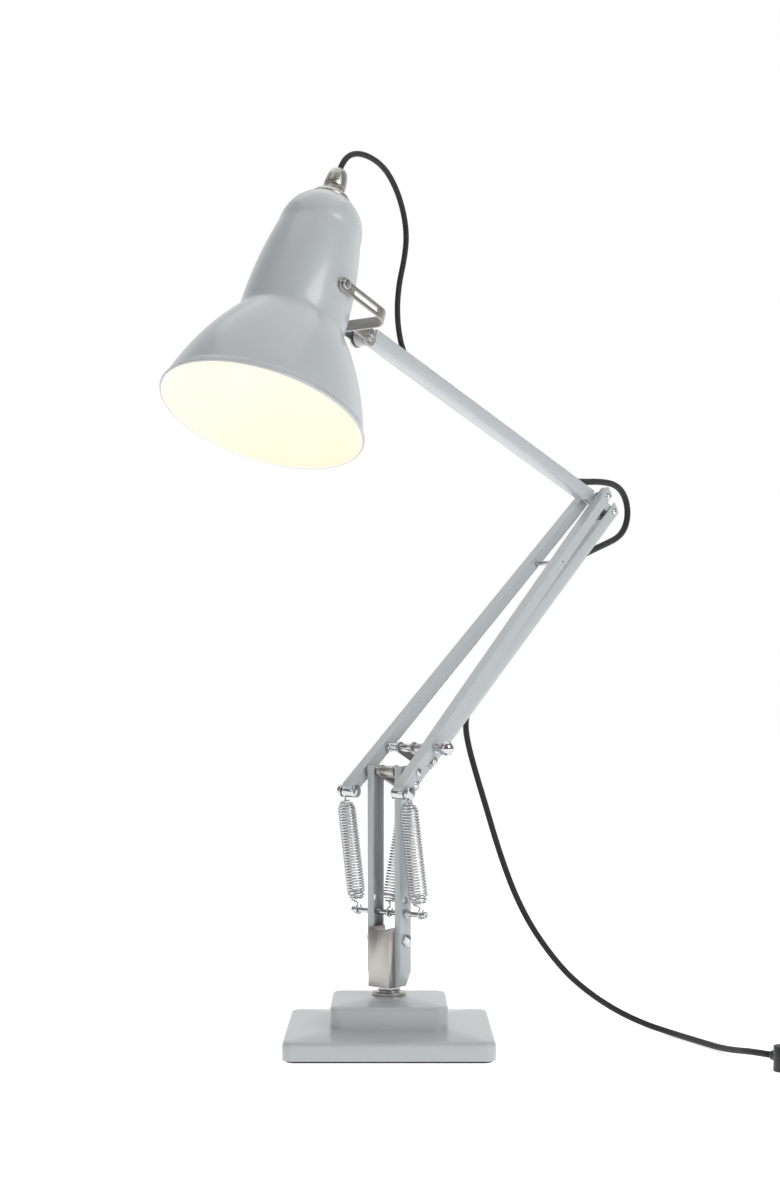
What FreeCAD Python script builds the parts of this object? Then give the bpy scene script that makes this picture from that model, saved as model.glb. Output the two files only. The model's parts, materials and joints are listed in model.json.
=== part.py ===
import FreeCAD, Part
import math
import os
from FreeCAD import Placement, Rotation, Vector

# Architect desk lamp: a stepped square base, a swivelling fork, a pair of parallel lower channels with
# a control link behind them, a square upper arm and a spun shade on a slotted yoke.
# Row frame: origin at the middle of the base's underside, +Z up, millimetres and degrees.

DRIVING = {
    # base
    "base_side": 150.0, "base_corner": 8.0, "pad_side": 144.0, "pad_thick": 1.5,
    "step_low_top": 14.5, "slope_low_top": 17.7, "step_side": 85.0, "step_top": 33.7,
    "slope_high_side": 26.0, "slope_high_top": 37.0, "base_wall": 2.2,
    "bush_radius": 8.0, "bush_bore": 5.05, "bush_top": 40.5, "spindle_radius": 5.0,
    # fork
    "upright_half_gap": 15.3, "upright_depth": 12.5, "upright_flange": 5.5, "upright_top": 204.6,
    "upright_foot": 43.5, "sheet_wall": 1.2, "shoe_width": 19.4, "shoe_front": 12.4, "shoe_top": 87.5,
    "screw_height": 77.5, "screw_bore": 2.1, "rod_height": 97.0, "rod_radius": 2.0, "rod_half": 34.0,
    "spare_hole": 107.0,
    # arms
    "pivot_height": 200.2, "pivot_radius": 2.25, "lower_arm": 356.7, "lower_pitch": 218.16,
    "channel_width": 8.4, "channel_depth": 9.0, "channel_shift": 1.0, "half_gap_low": 18.6,
    "half_gap_high": 5.0, "tail": 21.5, "tube_side": 10.4, "tube_wall": 1.2, "crank_along": 11.3,
    "crank_back": 22.0, "friction_along": 27.3, "tie_along": 262.0, "upper_arm": 325.2,
    "upper_pitch": -16.69, "arm_yaw": -128.0,
    # springs
    "spring_radius": 7.2, "spring_wire": 1.4, "spring_half_gap": 28.9, "anchor_radius": 4.6,
    # head
    "yoke_length": 71.8, "yoke_half": 39.2, "strip_width": 8.6, "strip_thick": 1.3, "rim_radius": 71.0,
    "crease_radius": 38.0, "crease_height": 70.5, "neck_radius": 30.0, "neck_height": 146.0,
    "shade_wall": 1.0, "pivot_rise": 99.5, "shade_tilt": -24.4,
    # leads
    "head_cord": 4.2, "elbow_cord": 5.4, "mains_cord": 4.6,
}

doc = FreeCAD.newDocument("desk_lamp")
sheet = doc.addObject("Spreadsheet::Sheet", "Dims")
for row, (alias, value) in enumerate(DRIVING.items(), start=1):
    sheet.set(f"A{row}", alias)
    sheet.set(f"B{row}", str(value))
    sheet.setAlias(f"B{row}", alias)
doc.recompute()

parts = []


def dim(alias):
    """A driving dimension, read back from the sheet."""
    return float(getattr(sheet, alias))


def cells(text):
    """An expression in which each $name is the sheet's cell of that name."""
    return text.replace("$", "Dims.")


def bind(obj, sizes):
    """Binds each property to an expression, or sets a plain number."""
    for prop, size in sizes.items():
        if isinstance(size, str):
            obj.setExpression(prop, cells(size))
        else:
            setattr(obj, prop, size)
    return obj


def at(x=0.0, y=0.0, z=0.0, axis=(0, 0, 1), turn=0.0):
    return Placement(Vector(x, y, z), Rotation(Vector(*axis), turn))


def box(length, width, height, place):
    obj = bind(doc.addObject("Part::Box", "Box"), {"Length": length, "Width": width, "Height": height})
    obj.Placement = place
    return obj


def rod(radius, height, place, name="Cylinder"):
    obj = bind(doc.addObject("Part::Cylinder", name), {"Radius": radius, "Height": height})
    obj.Placement = place
    return obj


def cone(radius_low, radius_high, height, place):
    sizes = {"Radius1": radius_low, "Radius2": radius_high, "Height": height}
    obj = bind(doc.addObject("Part::Cone", "Cone"), sizes)
    obj.Placement = place
    return obj


def ring(radius, wire, place):
    obj = bind(doc.addObject("Part::Torus", "Torus"), {"Radius1": radius, "Radius2": wire})
    obj.Placement = place
    return obj


def ball(radius, place):
    obj = bind(doc.addObject("Part::Sphere", "Sphere"), {"Radius": radius})
    obj.Placement = place
    return obj


def fuse(*shapes):
    obj = doc.addObject("Part::MultiFuse", "Union")
    obj.Shapes = list(shapes)
    return obj


def group(*shapes):
    obj = doc.addObject("Part::Compound", "Group")
    obj.Links = list(shapes)
    return obj


def cut(base, *tools):
    obj = doc.addObject("Part::Cut", "Cut")
    obj.Base = base
    obj.Tool = tools[0] if len(tools) == 1 else fuse(*tools)
    return obj


def part(node, obj, frame=None):
    """Names a finished sub-part and puts it in its place."""
    obj.Label = node
    if frame is not None:
        obj.Placement = frame.multiply(obj.Placement)
    parts.append(obj)
    return obj


def across(x, z, y):
    """A cylinder's place: its foot at (x, y, z), its axis along +Y."""
    return at(x, y, z, (1, 0, 0), -90)


def sketch_on(body, plane, name, segments, offset=0.0):
    """A closed outline on one of the body's planes. Each segment is (start, end) or (start, mid, end)."""
    origin = next(f for f in body.Origin.OriginFeatures if f.Role == plane)
    sketch = body.newObject("Sketcher::SketchObject", name)
    sketch.AttachmentSupport = (origin, [""])
    sketch.MapMode = "FlatFace"
    sketch.AttachmentOffset = at(z=offset)
    for segment in segments:
        points = [Vector(u, v, 0) for u, v in segment]
        edge = Part.LineSegment(*points) if len(points) == 2 else Part.Arc(*points)
        sketch.addGeometry(edge, False)
    return sketch


def polygon(points):
    return [(a, b) for a, b in zip(points, points[1:] + points[:1])]


def rounded_square(side, corner):
    """Outline of a square with round corners, centred on the origin."""
    half, inner, mid = side / 2, side / 2 - corner, side / 2 - corner * (1 - math.sqrt(0.5))
    segments = []
    for quarter in range(4):
        c, s = round(math.cos(quarter * math.pi / 2)), round(math.sin(quarter * math.pi / 2))
        turned = [(c * u - s * v, s * u + c * v) for u, v in
                  ((half, -inner), (half, inner), (mid, mid), (inner, half))]
        segments += [tuple(turned[:2]), tuple(turned[1:])]
    return segments


def revolved(node, outline, frame):
    """A turned piece: an outline in the XZ plane, spun about the Z axis."""
    body = doc.addObject("PartDesign::Body", node)
    sketch = sketch_on(body, "XZ_Plane", "Outline", outline)
    spin = body.newObject("PartDesign::Revolution", "Spin")
    spin.Profile = sketch
    spin.ReferenceAxis = (sketch, ["V_Axis"])
    spin.Angle = 360
    body.Tip = spin
    return part(node, body, frame)


# ---- frames of the moving bodies, at rest
turned = at(axis=(0, 0, 1), turn=dim("arm_yaw"))
pivot = turned.multiply(at(z=dim("pivot_height")))
lower = pivot.multiply(at(axis=(0, 1, 0), turn=dim("lower_pitch")))
elbow = lower.multiply(at(x=dim("lower_arm")))
upper = Placement(elbow.Base, turned.multiply(at(axis=(0, 1, 0), turn=dim("upper_pitch"))).Rotation)
crank_pin = lower.multiply(at(x=dim("crank_along"), z=dim("crank_back")))
hinge = upper.multiply(at(x=dim("upper_arm")))
YOKE_PITCH = -18.7
yoke = Placement(hinge.Base, turned.multiply(at(axis=(0, 1, 0), turn=YOKE_PITCH)).Rotation)
shade_pivot = yoke.multiply(at(x=dim("yoke_length"))).Base
shade_turn = turned.multiply(at(axis=(0, 1, 0), turn=dim("shade_tilt"))).Rotation
shade_frame = Placement(shade_pivot, shade_turn).multiply(at(z=-dim("pivot_rise")))


# ---- base: pressed steel cover over a cast weight, on a soft pad
def plan(body, side, corner, level):
    return sketch_on(body, "XY_Plane", "Plan", rounded_square(side, corner), level)


def pad(body, side, corner, level, length):
    feature = body.newObject("PartDesign::Pad", "Step")
    feature.Profile = plan(body, side, corner, level)
    return bind(feature, {"Length": length})


def slope(body, side_low, side_high, corner, low, high):
    feature = body.newObject("PartDesign::AdditiveLoft", "Slope")
    feature.Profile = plan(body, side_low, corner, low)
    feature.Sections = [plan(body, side_high, corner * 0.9, high)]
    feature.Ruled = True
    return feature


def hollow(body, side, level, length):
    feature = body.newObject("PartDesign::Pocket", "Hollow")
    feature.Profile = plan(body, side, 5.0, level)
    feature.Reversed = True
    return bind(feature, {"Length": length})


cover = doc.addObject("PartDesign::Body", "Cover")
wall, base_side, step_side, base_corner = (dim(name) for name in
                                           ("base_wall", "base_side", "step_side", "base_corner"))
pad(cover, base_side, base_corner, dim("pad_thick"), "$step_low_top - $pad_thick")
slope(cover, base_side, step_side, base_corner, dim("step_low_top"), dim("slope_low_top"))
pad(cover, step_side, base_corner, dim("slope_low_top"), "$step_top - $slope_low_top")
slope(cover, step_side, dim("slope_high_side"), base_corner, dim("step_top"), dim("slope_high_top"))
hollow(cover, base_side - 2 * wall, dim("pad_thick"), "$step_low_top - $base_wall - $pad_thick")
hollow(cover, step_side - 2 * wall, dim("pad_thick"), "$step_top - $base_wall - $pad_thick")
part("base_cover", cut(cover, rod("$bush_radius", 60, at())))

weight = doc.addObject("PartDesign::Body", "Weight")
WEIGHT_PLAY = 0.4
pad(weight, base_side - 2 * wall - WEIGHT_PLAY, 5.0, dim("pad_thick"),
    "$step_low_top - $base_wall - $pad_thick")
pad(weight, step_side - 2 * wall - WEIGHT_PLAY, 5.0, dim("step_low_top") - wall,
    "$step_top - $step_low_top")
part("base_weight", cut(weight, rod("$bush_radius", 60, at())))

foot = doc.addObject("PartDesign::Body", "Foot")
pad(foot, dim("pad_side"), 7.0, 0.0, "$pad_thick")
part("base_pad", foot)

BUSH_FOOT, BUSH_LIP = 6.0, 12.5
bush = fuse(rod("$bush_radius", f"$bush_top - {BUSH_FOOT}", at(z=BUSH_FOOT)),
            rod(BUSH_LIP, 2.2, at(z=dim("slope_high_top"))))
part("spindle_bush", cut(bush, rod("$bush_bore", 60, at())))

# ---- fork: spindle, plated shoe with a blank label face, two folded uprights
foot_level = dim("upright_foot")
SPINDLE_FOOT = 9.0
part("spindle", fuse(rod("$spindle_radius", f"$upright_foot - {SPINDLE_FOOT}", at(z=SPINDLE_FOOT)),
                     rod(8.2, "$upright_foot - $bush_top - 0.2", at(z=dim("bush_top") + 0.2))), turned)

shoe_half, shoe_front, shoe_wall = dim("shoe_width") / 2, dim("shoe_front"), 1.35
shoe = cut(box(f"{shoe_front} + 6", "$shoe_width", "$shoe_top - $upright_foot",
               at(-6, -shoe_half, foot_level)),
           box(f"{shoe_front} + 6 - {shoe_wall}", f"$shoe_width - 2 * {shoe_wall}", 60,
               at(-6, -shoe_half + shoe_wall, foot_level + 14)),
           rod(23, 60, at(shoe_front + 1 - 30, 0, dim("shoe_top") + 20.6, (0, 1, 0), 90)),
           rod("$screw_bore", 60, across(0, dim("screw_height"), -30)))
part("fork_shoe", shoe, turned)

half_gap, depth, flange = dim("upright_half_gap"), dim("upright_depth"), dim("upright_flange")
FOOT_SOLID, FOOT_TAPER_TOP, FOOT_TAPER = 13.0, 54.0, 23.0
for side, word in ((1, "near"), (-1, "far")):
    web_y = half_gap - flange if side > 0 else -half_gap
    open_y = half_gap - flange - 1 if side > 0 else -half_gap + dim("sheet_wall")
    taper = at(-10, side * half_gap, FOOT_TAPER_TOP, (1, 0, 0), -side * FOOT_TAPER)
    part(f"fork_upright_{word}", cut(
        box("$upright_depth", "$upright_flange", "$upright_top - $upright_foot",
            at(-depth / 2, web_y, foot_level)),
        box("$upright_depth - 2 * $sheet_wall", "$upright_flange - $sheet_wall + 1", 200,
            at(-depth / 2 + dim("sheet_wall"), open_y, foot_level + FOOT_SOLID)),
        rod("$pivot_radius + 0.03", 60, across(0, dim("pivot_height"), -30)),
        rod("$rod_radius", 60, across(0, dim("rod_height"), -30)),
        rod(2.7, 60, across(0, dim("spare_hole"), -30)),
        rod("$screw_bore", 60, across(0, dim("screw_height"), -30)),
        box(20, 10, 12, taper.multiply(at(y=0 if side > 0 else -10, z=-12)))), turned)


def both_sides(make):
    """The same piece on the near and the far side, as one group of separate solids."""
    return group(make(1), make(-1))


def pin(radius, x, z, y_from, y_to):
    """A round pin across the lamp between two side positions."""
    return rod(radius, y_to - y_from, across(x, z, y_from))


def screw(side):
    low, high = sorted((side * (shoe_half - shoe_wall), side * (half_gap + 0.6)))
    head_low = half_gap if side > 0 else -half_gap - 2.2
    nut_low = shoe_half - shoe_wall - 2.4 if side > 0 else -shoe_half + shoe_wall
    head = pin(4.3, 0, dim("screw_height"), head_low, head_low + 2.2)
    spacer_low, spacer_high = sorted((side * shoe_half, side * (half_gap - dim("sheet_wall"))))
    return fuse(pin("$screw_bore", 0, dim("screw_height"), low, high), head,
                pin(3.4, 0, dim("screw_height"), spacer_low, spacer_high),
                pin(3.2, 0, dim("screw_height"), nut_low, nut_low + 2.4))


part("fork_screws", both_sides(screw), turned)

shaft_half = dim("half_gap_low") + dim("channel_width") + 0.9
part("main_pivot_shaft", fuse(pin("$pivot_radius", 0, 0, -shaft_half, shaft_half),
                              pin(2.9, 0, 0, shaft_half - 0.6, shaft_half),
                              pin(2.9, 0, 0, -shaft_half, -shaft_half + 0.6)), pivot)

rod_half, rod_level, eye_gap = dim("rod_half"), dim("rod_height"), dim("spring_half_gap")
GROOVE_HALF = 1.2
part("spring_rod", cut(fuse(pin("$rod_radius", 0, rod_level, -rod_half, rod_half),
                            pin(2.9, 0, rod_level, half_gap, half_gap + 2.0),
                            pin(2.9, 0, rod_level, -half_gap - 2.0, -half_gap),
                            pin(2.6, 0, rod_level, eye_gap + GROOVE_HALF, rod_half),
                            pin(2.6, 0, rod_level, -rod_half, -eye_gap - GROOVE_HALF)),
                       rod(0.8, 3, across(0, rod_level, rod_half - 2))), turned)


# ---- springs: closed coils with a tapered end and a round eye at each end
def spring(node, low, high, side_y, radius):
    """The envelope of a coil between two hooks given as (x, z)."""
    span = math.hypot(high[0] - low[0], high[1] - low[1])
    lean = math.degrees(math.atan2(high[0] - low[0], high[1] - low[1]))
    eye, eye_shift, start, taper = 3.3, 0.3, 8.0, 5.0
    wire = dim("spring_wire")
    shank_foot = eye + eye_shift
    shank_long = start + 0.8 - shank_foot
    body = fuse(cone(radius * 0.62, radius, taper, at(z=start)),
                rod(radius, span - 2 * start - 2 * taper, at(z=start + taper)),
                cone(radius, radius * 0.62, taper, at(z=span - start - taper)))
    shell = cut(body, rod(radius - wire, span - 2 * start - 2 * taper, at(z=start + taper)))
    eyes = [ring(eye, "$spring_wire / 2", at(z=level, axis=(1, 0, 0), turn=90))
            for level in (eye_shift, span - eye_shift)]
    shanks = [rod("$spring_wire * 0.42", shank_long, at(z=level))
              for level in (shank_foot, span - shank_foot - shank_long)]
    coil = fuse(shell, *eyes, *shanks)
    coil.Placement = at(low[0], side_y, low[1], (0, 1, 0), lean)
    return part(node, coil, turned)


def in_plane(frame, x=0.0, z=0.0):
    """A point of a body's frame as (x, z) of the lamp's own plane."""
    point = turned.inverse().multVec(frame.multVec(Vector(x, 0, z)))
    return point.x, point.z


anchor = in_plane(lower, -dim("tail"), 1.5)
spring("spring_near", (0, rod_level), anchor, eye_gap, dim("spring_radius"))
spring("spring_far", (0, rod_level), anchor, -eye_gap, dim("spring_radius"))
spring("spring_centre", (0, rod_level), in_plane(crank_pin), 0.0, dim("spring_radius") - 0.7)

# ---- lower arm: two folded channels that close in towards the elbow
arm_length, tail = dim("lower_arm"), dim("tail")
HOOK_SHIFT, LOW_END, TOP_END = 1.5, 2.5, 6.5
WINDOW, WINDOW_END = 24.0, 28.0
closing = (dim("half_gap_low") - dim("half_gap_high")) / arm_length
front = -dim("channel_shift") - dim("channel_depth") / 2


def inner_gap(along):
    """Half the gap between the two channels at a distance from the main pivot."""
    return dim("half_gap_low") - closing * along


for side, word in ((1, "near"), (-1, "far")):
    run = tail + LOW_END + arm_length + TOP_END
    start = -tail - LOW_END
    line = at(start, side * inner_gap(start), 0, (0, 0, 1), -side * math.degrees(math.atan(closing)))
    shell_y = 0 if side > 0 else -dim("channel_width")
    open_y = -1 if side > 0 else -dim("channel_width") + dim("sheet_wall")
    open_width = "$channel_width - $sheet_wall + 1"
    part(f"lower_arm_{word}", cut(
        box(run, "$channel_width", "$channel_depth", line.multiply(at(y=shell_y, z=front))),
        box(run + 2, open_width, "$channel_depth - 2 * $sheet_wall",
            line.multiply(at(-1, open_y, front + dim("sheet_wall")))),
        box(WINDOW, open_width, 3, line.multiply(at(run - TOP_END - WINDOW_END, open_y, -front - 3.2))),
        rod("$pivot_radius + 0.05", 80, across(0, 0, -40)),
        rod(2.2, 80, across(dim("friction_along"), 0, -40)),
        rod(1.8, 80, across(dim("tie_along"), 0, -40)),
        rod(1.6, 80, across(arm_length, 0, -40)),
        rod("$anchor_radius", 80, across(-tail, HOOK_SHIFT, -40)),
        box(60, "$tube_side + 1.4", 30, at(arm_length - 46, -dim("tube_side") / 2 - 0.7, -15))), lower)


def mirrored(radius, x, z, y_from, y_to):
    """A pair of round pieces, one on each side."""
    return pin(radius, x, z, y_from, y_to), pin(radius, x, z, -y_to, -y_from)


def domed_pin(radius, head, x, z, y_head):
    """A pin with a collar and a low dome at each end, its heads starting at y_head."""
    collar, rise = 0.7, 1.5
    curve = (head ** 2 + rise ** 2) / (2 * rise)
    depth_in = curve - rise
    domes = []
    for side in (1, -1):
        dome = bind(doc.addObject("Part::Sphere", "Dome"),
                    {"Radius": curve, "Angle1": math.degrees(math.asin(depth_in / curve))})
        dome.Placement = at(x, side * (y_head + collar - depth_in), z, (1, 0, 0), -90 * side)
        domes.append(dome)
    return fuse(pin(radius, x, z, -y_head - 0.2, y_head + 0.2), *domes,
                *mirrored(head + 0.3, x, z, y_head, y_head + collar))


def hollow_pair(outer, bore, x, z, y_from, y_to):
    return both_sides(lambda side: cut(mirrored(outer, x, z, y_from, y_to)[0 if side > 0 else 1],
                                       pin(bore, x, z, -40, 40)))


part("pivot_washers", hollow_pair(4.4, "$pivot_radius + 0.05", 0, 0, half_gap + 0.3, inner_gap(4.4)), lower)

anchor_in, anchor_out = inner_gap(-tail) - 2.2, eye_gap + 4.0
part("spring_anchors", both_sides(lambda side: cut(
    mirrored("$anchor_radius", -tail, HOOK_SHIFT, anchor_in, anchor_out)[0 if side > 0 else 1],
    cut(pin("$anchor_radius + 1", -tail, HOOK_SHIFT, side * eye_gap - GROOVE_HALF,
            side * eye_gap + GROOVE_HALF),
        pin(2.2, -tail, HOOK_SHIFT, -40, 40)))), lower)

friction_x = dim("friction_along")
sleeve_half = inner_gap(friction_x)
channel_outer = sleeve_half + dim("channel_width") + 0.1
part("friction_bar", fuse(
    pin(2.2, friction_x, 0, -channel_outer, channel_outer + 3.0),
    *mirrored(3.2, friction_x, 0, 7.5, sleeve_half - 0.1),
    *mirrored(3.6, friction_x, 0, sleeve_half - 3.4, sleeve_half - 0.1),
    pin(3.0, friction_x, 0, -5.2, 5.2),
    pin(3.4, friction_x, 0, channel_outer, channel_outer + 1.6),
    pin(3.0, friction_x, 0, -channel_outer - 1.2, -channel_outer)), lower)

tie_half = inner_gap(dim("tie_along"))
part("tie_bar", fuse(pin(1.8, dim("tie_along"), 0, -tie_half - dim("channel_width"),
                         tie_half + dim("channel_width")),
                     pin(2.25, dim("tie_along"), 0, -tie_half + 0.1, tie_half - 0.1)), lower)

elbow_outer = inner_gap(arm_length) + dim("channel_width") + 0.1
BRACKET_HALF = 3.6
part("elbow_pin", domed_pin(1.6, 2.7, arm_length, 0, elbow_outer), lower)
part("elbow_spacers", hollow_pair(2.2, 1.6, arm_length, 0, BRACKET_HALF + 0.3,
                                  elbow_outer - dim("sheet_wall") - 0.2), lower)

KNOB_CENTRE, KNOB_RADIUS = 10.2, 5.7
knob_from = channel_outer + 3.3
knob = fuse(pin(3.0, friction_x, 0, knob_from, knob_from + 3.0),
            ball(KNOB_RADIUS, at(friction_x, channel_outer + KNOB_CENTRE, 0)))
part("friction_knob", knob, lower)

# ---- crank on the main pivot, and the friction plates parallel to it
crank_x, crank_z = dim("crank_along"), dim("crank_back")
crank_reach = math.hypot(crank_x, crank_z)
crank_angle = math.degrees(math.atan2(-crank_z, crank_x))
PLATE_IN, PLATE_OUT = 5.6, 7.1


def strap(x, end_radius, low_bore, high_bore):
    """A flat bar with round ends on each side, from (x, 0) along the crank's direction."""
    def one(side):
        low = PLATE_IN if side > 0 else -PLATE_OUT
        way = at(x, low, 0, (0, 1, 0), crank_angle)
        plate = box(crank_reach, PLATE_OUT - PLATE_IN, 2 * end_radius, way.multiply(at(z=-end_radius)))
        ends = [pin(end_radius, px, pz, low, low + PLATE_OUT - PLATE_IN)
                for px, pz in ((x, 0), (x + crank_x, crank_z))]
        return cut(fuse(plate, *ends), pin(low_bore, x, 0, -40, 40),
                   pin(high_bore, x + crank_x, crank_z, -40, 40))
    return both_sides(one)


part("crank_plates", strap(0, 4.8, "$pivot_radius + 0.05", 1.6), lower)
part("crank_hub", cut(pin(4.2, 0, 0, -PLATE_IN, PLATE_IN), pin("$pivot_radius + 0.05", 0, 0, -40, 40)), lower)
part("crank_pin", domed_pin(1.6, 2.7, crank_x, crank_z, PLATE_OUT), lower)
part("shaft_spacers", hollow_pair(3.6, "$pivot_radius", 0, 0, PLATE_OUT + 0.4,
                                  half_gap - dim("sheet_wall")), pivot)
part("friction_plates", strap(friction_x, 4.4, 2.25, 1.65), lower)

# ---- control link: a forked fitting at the foot, then a square tube that carries the lead
tube, tube_wall = dim("tube_side"), dim("tube_wall")
bore_half = tube / 2 - tube_wall
TUBE_START, LINK_PIN_CLEAR = 23.5, 0.3
CLAMP_ALONG = friction_x


def square_tube(start, end, *openings):
    outer = box(end - start, "$tube_side", "$tube_side", at(start, -tube / 2, -tube / 2))
    inner = box(end - start + 2, "$tube_side - 2 * $tube_wall", "$tube_side - 2 * $tube_wall",
                at(start - 1, -bore_half, -bore_half))
    return cut(outer, inner, *openings)


def lead_slot(start, end, width, top):
    """A round-ended slot through one wall of a square tube, on its +Z or -Z side."""
    low = bore_half - 1 if top else -tube / 2 - 1
    ends = [rod(width / 2, tube_wall + 2, at(x, 0, low)) for x in (start + width / 2, end - width / 2)]
    return fuse(box(end - start - width, width, tube_wall + 2, at(start + width / 2, -width / 2, low)), *ends)


link_length = arm_length
fitting = cut(
    fuse(box(TUBE_START, "$tube_side", "$tube_side - 1", at(0, -tube / 2, -tube / 2 + 0.5)),
         pin(tube / 2 - 0.5, 0, 0, -tube / 2, tube / 2),
         box(12, 2 * bore_half, 2 * bore_half, at(TUBE_START, -bore_half, -bore_half))),
    box(14, 3.2, 20, at(-7, -1.6, -10)),
    pin(1.6 + LINK_PIN_CLEAR, 0, 0, -40, 40),
    pin(1.6, CLAMP_ALONG, 0, -40, 40))
part("link_foot", fitting, crank_pin)
part("link_bolt", fuse(pin(1.6, CLAMP_ALONG, 0, -PLATE_OUT - 3.0, PLATE_OUT + 3.0),
                       *mirrored(3.0, CLAMP_ALONG, 0, PLATE_OUT + 0.3, PLATE_OUT + 2.4)), crank_pin)
LOOP_SLOT, LEAD_SLOT = (281.0, 313.0), (64.0, 112.0)
part("link_tube", square_tube(
    TUBE_START, link_length + 6.0,
    lead_slot(*LOOP_SLOT, 6.2, True), lead_slot(*LEAD_SLOT, 5.6, True),
    pin(1.6, CLAMP_ALONG, 0, -40, 40), pin(1.6, link_length, 0, -40, 40),
    box(30, 2 * bore_half, 6, at(link_length - 20, -bore_half, -tube / 2 - 1))), crank_pin)
part("link_top_pin", domed_pin(1.6, 2.7, link_length, 0, tube / 2), crank_pin)

# ---- upper arm: a square tube, a tail bracket at the elbow and a tongue at the head
TUBE_DROP, TUBE_RISE = -3.0, -1.35
TUBE_FOOT, TUBE_HEAD = 9.0, 317.0
arm_tube = upper.multiply(at(z=TUBE_DROP, axis=(0, 1, 0), turn=TUBE_RISE))
MITRE = 35.0
elbow_cut = box(40, 40, 60, at(TUBE_FOOT, -20, tube / 2, (0, 1, 0), -MITRE).multiply(at(x=-40, z=-40)))
ELBOW_SLOT, HEAD_SLOT = (20.0, 46.0), (258.0, 292.0)
part("upper_arm_tube", square_tube(
    TUBE_FOOT, TUBE_HEAD, lead_slot(*ELBOW_SLOT, 6.2, True), lead_slot(*HEAD_SLOT, 5.2, True),
    elbow_cut), arm_tube)

TAIL_RADIUS, ELBOW_RADIUS = 3.6, 4.6
to_tube = arm_tube.inverse().multiply(upper)
elbow_at = to_tube.multVec(Vector(0, 0, 0))
link_way = arm_tube.inverse().multiply(lower.multiply(at(x=arm_length)))
tail_way = link_way.multiply(at(axis=(0, 1, 0), turn=crank_angle))
tail_at = link_way.multVec(Vector(crank_x, 0, crank_z))
BRACKET_LONG, CHEEK_GAP, CHEEK_LONG = 22.0, 4.4, 52.0
bracket = cut(
    fuse(box(BRACKET_LONG, 2 * BRACKET_HALF, 2 * bore_half, at(elbow_at.x, -BRACKET_HALF, -bore_half)),
         box(crank_reach, 2 * BRACKET_HALF, 2 * TAIL_RADIUS,
             tail_way.multiply(at(y=-BRACKET_HALF, z=-TAIL_RADIUS))),
         pin(ELBOW_RADIUS, elbow_at.x, elbow_at.z, -BRACKET_HALF, BRACKET_HALF),
         pin(TAIL_RADIUS, tail_at.x, tail_at.z, -BRACKET_HALF, BRACKET_HALF)),
    box(CHEEK_LONG, CHEEK_GAP, 30, at(elbow_at.x + BRACKET_LONG - 2 - CHEEK_LONG, -CHEEK_GAP / 2, -15)),
    pin(1.65, elbow_at.x, elbow_at.z, -40, 40),
    pin(1.6 + LINK_PIN_CLEAR, tail_at.x, tail_at.z, -40, 40))
part("elbow_bracket", bracket, arm_tube)

TONGUE_HALF, LUG_RADIUS = bore_half, 6.2
hinge_at = arm_tube.inverse().multVec(hinge.Base)
part("head_tongue", cut(
    fuse(box(22, 2 * TONGUE_HALF, 2 * bore_half, at(TUBE_HEAD - 16, -TONGUE_HALF, -bore_half)),
         pin(LUG_RADIUS, hinge_at.x, hinge_at.z, -TONGUE_HALF, TONGUE_HALF)),
    pin(2.05, hinge_at.x, hinge_at.z, -40, 40)), arm_tube)

# ---- yoke: one plated strip bent to a U, with slotted arms and two lugs on the hinge
yoke_half, strip, yoke_long = dim("yoke_half"), dim("strip_thick"), dim("yoke_length")
BASE_AT, CORNER, LUG_IN = 17.5, 12.0, 5.5
bend = CORNER * (1 - math.sqrt(0.5))
inner_corner = CORNER - strip
inner_bend = inner_corner * (1 - math.sqrt(0.5))
out_x, out_y, in_x, in_y = BASE_AT, yoke_half, BASE_AT + strip, yoke_half - strip
outline = [
    ((yoke_long, out_y), (out_x + CORNER, out_y)),
    ((out_x + CORNER, out_y), (out_x + bend, out_y - bend), (out_x, out_y - CORNER)),
    ((out_x, out_y - CORNER), (out_x, CORNER - out_y)),
    ((out_x, CORNER - out_y), (out_x + bend, bend - out_y), (out_x + CORNER, -out_y)),
    ((out_x + CORNER, -out_y), (yoke_long, -out_y)),
    ((yoke_long, -out_y), (yoke_long, -in_y)),
    ((yoke_long, -in_y), (in_x + inner_corner, -in_y)),
    ((in_x + inner_corner, -in_y), (in_x + inner_bend, inner_bend - in_y), (in_x, inner_corner - in_y)),
    ((in_x, inner_corner - in_y), (in_x, in_y - inner_corner)),
    ((in_x, in_y - inner_corner), (in_x + inner_bend, in_y - inner_bend), (in_x + inner_corner, in_y)),
    ((in_x + inner_corner, in_y), (yoke_long, in_y)),
    ((yoke_long, in_y), (yoke_long, out_y)),
]
strip_body = doc.addObject("PartDesign::Body", "Strip")
strip_pad = strip_body.newObject("PartDesign::Pad", "Bend")
strip_pad.Profile = sketch_on(strip_body, "XY_Plane", "StripPath", outline)
bind(strip_pad, {"Length": "$strip_width", "Midplane": True})
SLOT_START, SLOT_END, SLOT_WIDTH, LUG_DISC = 33.0, 61.0, 3.4, 7.0
lugs = [fuse(box(BASE_AT + 0.4, strip, 8.0, at(0, y, -4)), pin(LUG_DISC, 0, 0, y, y + strip))
        for y in (LUG_IN, -LUG_IN - strip)]
yoke_slot = fuse(box(SLOT_END - SLOT_START - SLOT_WIDTH, 100, SLOT_WIDTH,
                     at(SLOT_START + SLOT_WIDTH / 2, -50, -SLOT_WIDTH / 2)),
                 pin(SLOT_WIDTH / 2, SLOT_START + SLOT_WIDTH / 2, 0, -50, 50),
                 pin(SLOT_WIDTH / 2, SLOT_END - SLOT_WIDTH / 2, 0, -50, 50))
eyes = mirrored(4.9, yoke_long, 0, in_y, out_y)
PIVOT_SCREW = 1.9
part("shade_yoke", cut(fuse(strip_body, *lugs, *eyes), yoke_slot, pin(2.0, 0, 0, -20, 20),
                       pin(PIVOT_SCREW + 0.05, yoke_long, 0, -60, 60)), yoke)
lug_out = LUG_IN + strip
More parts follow.
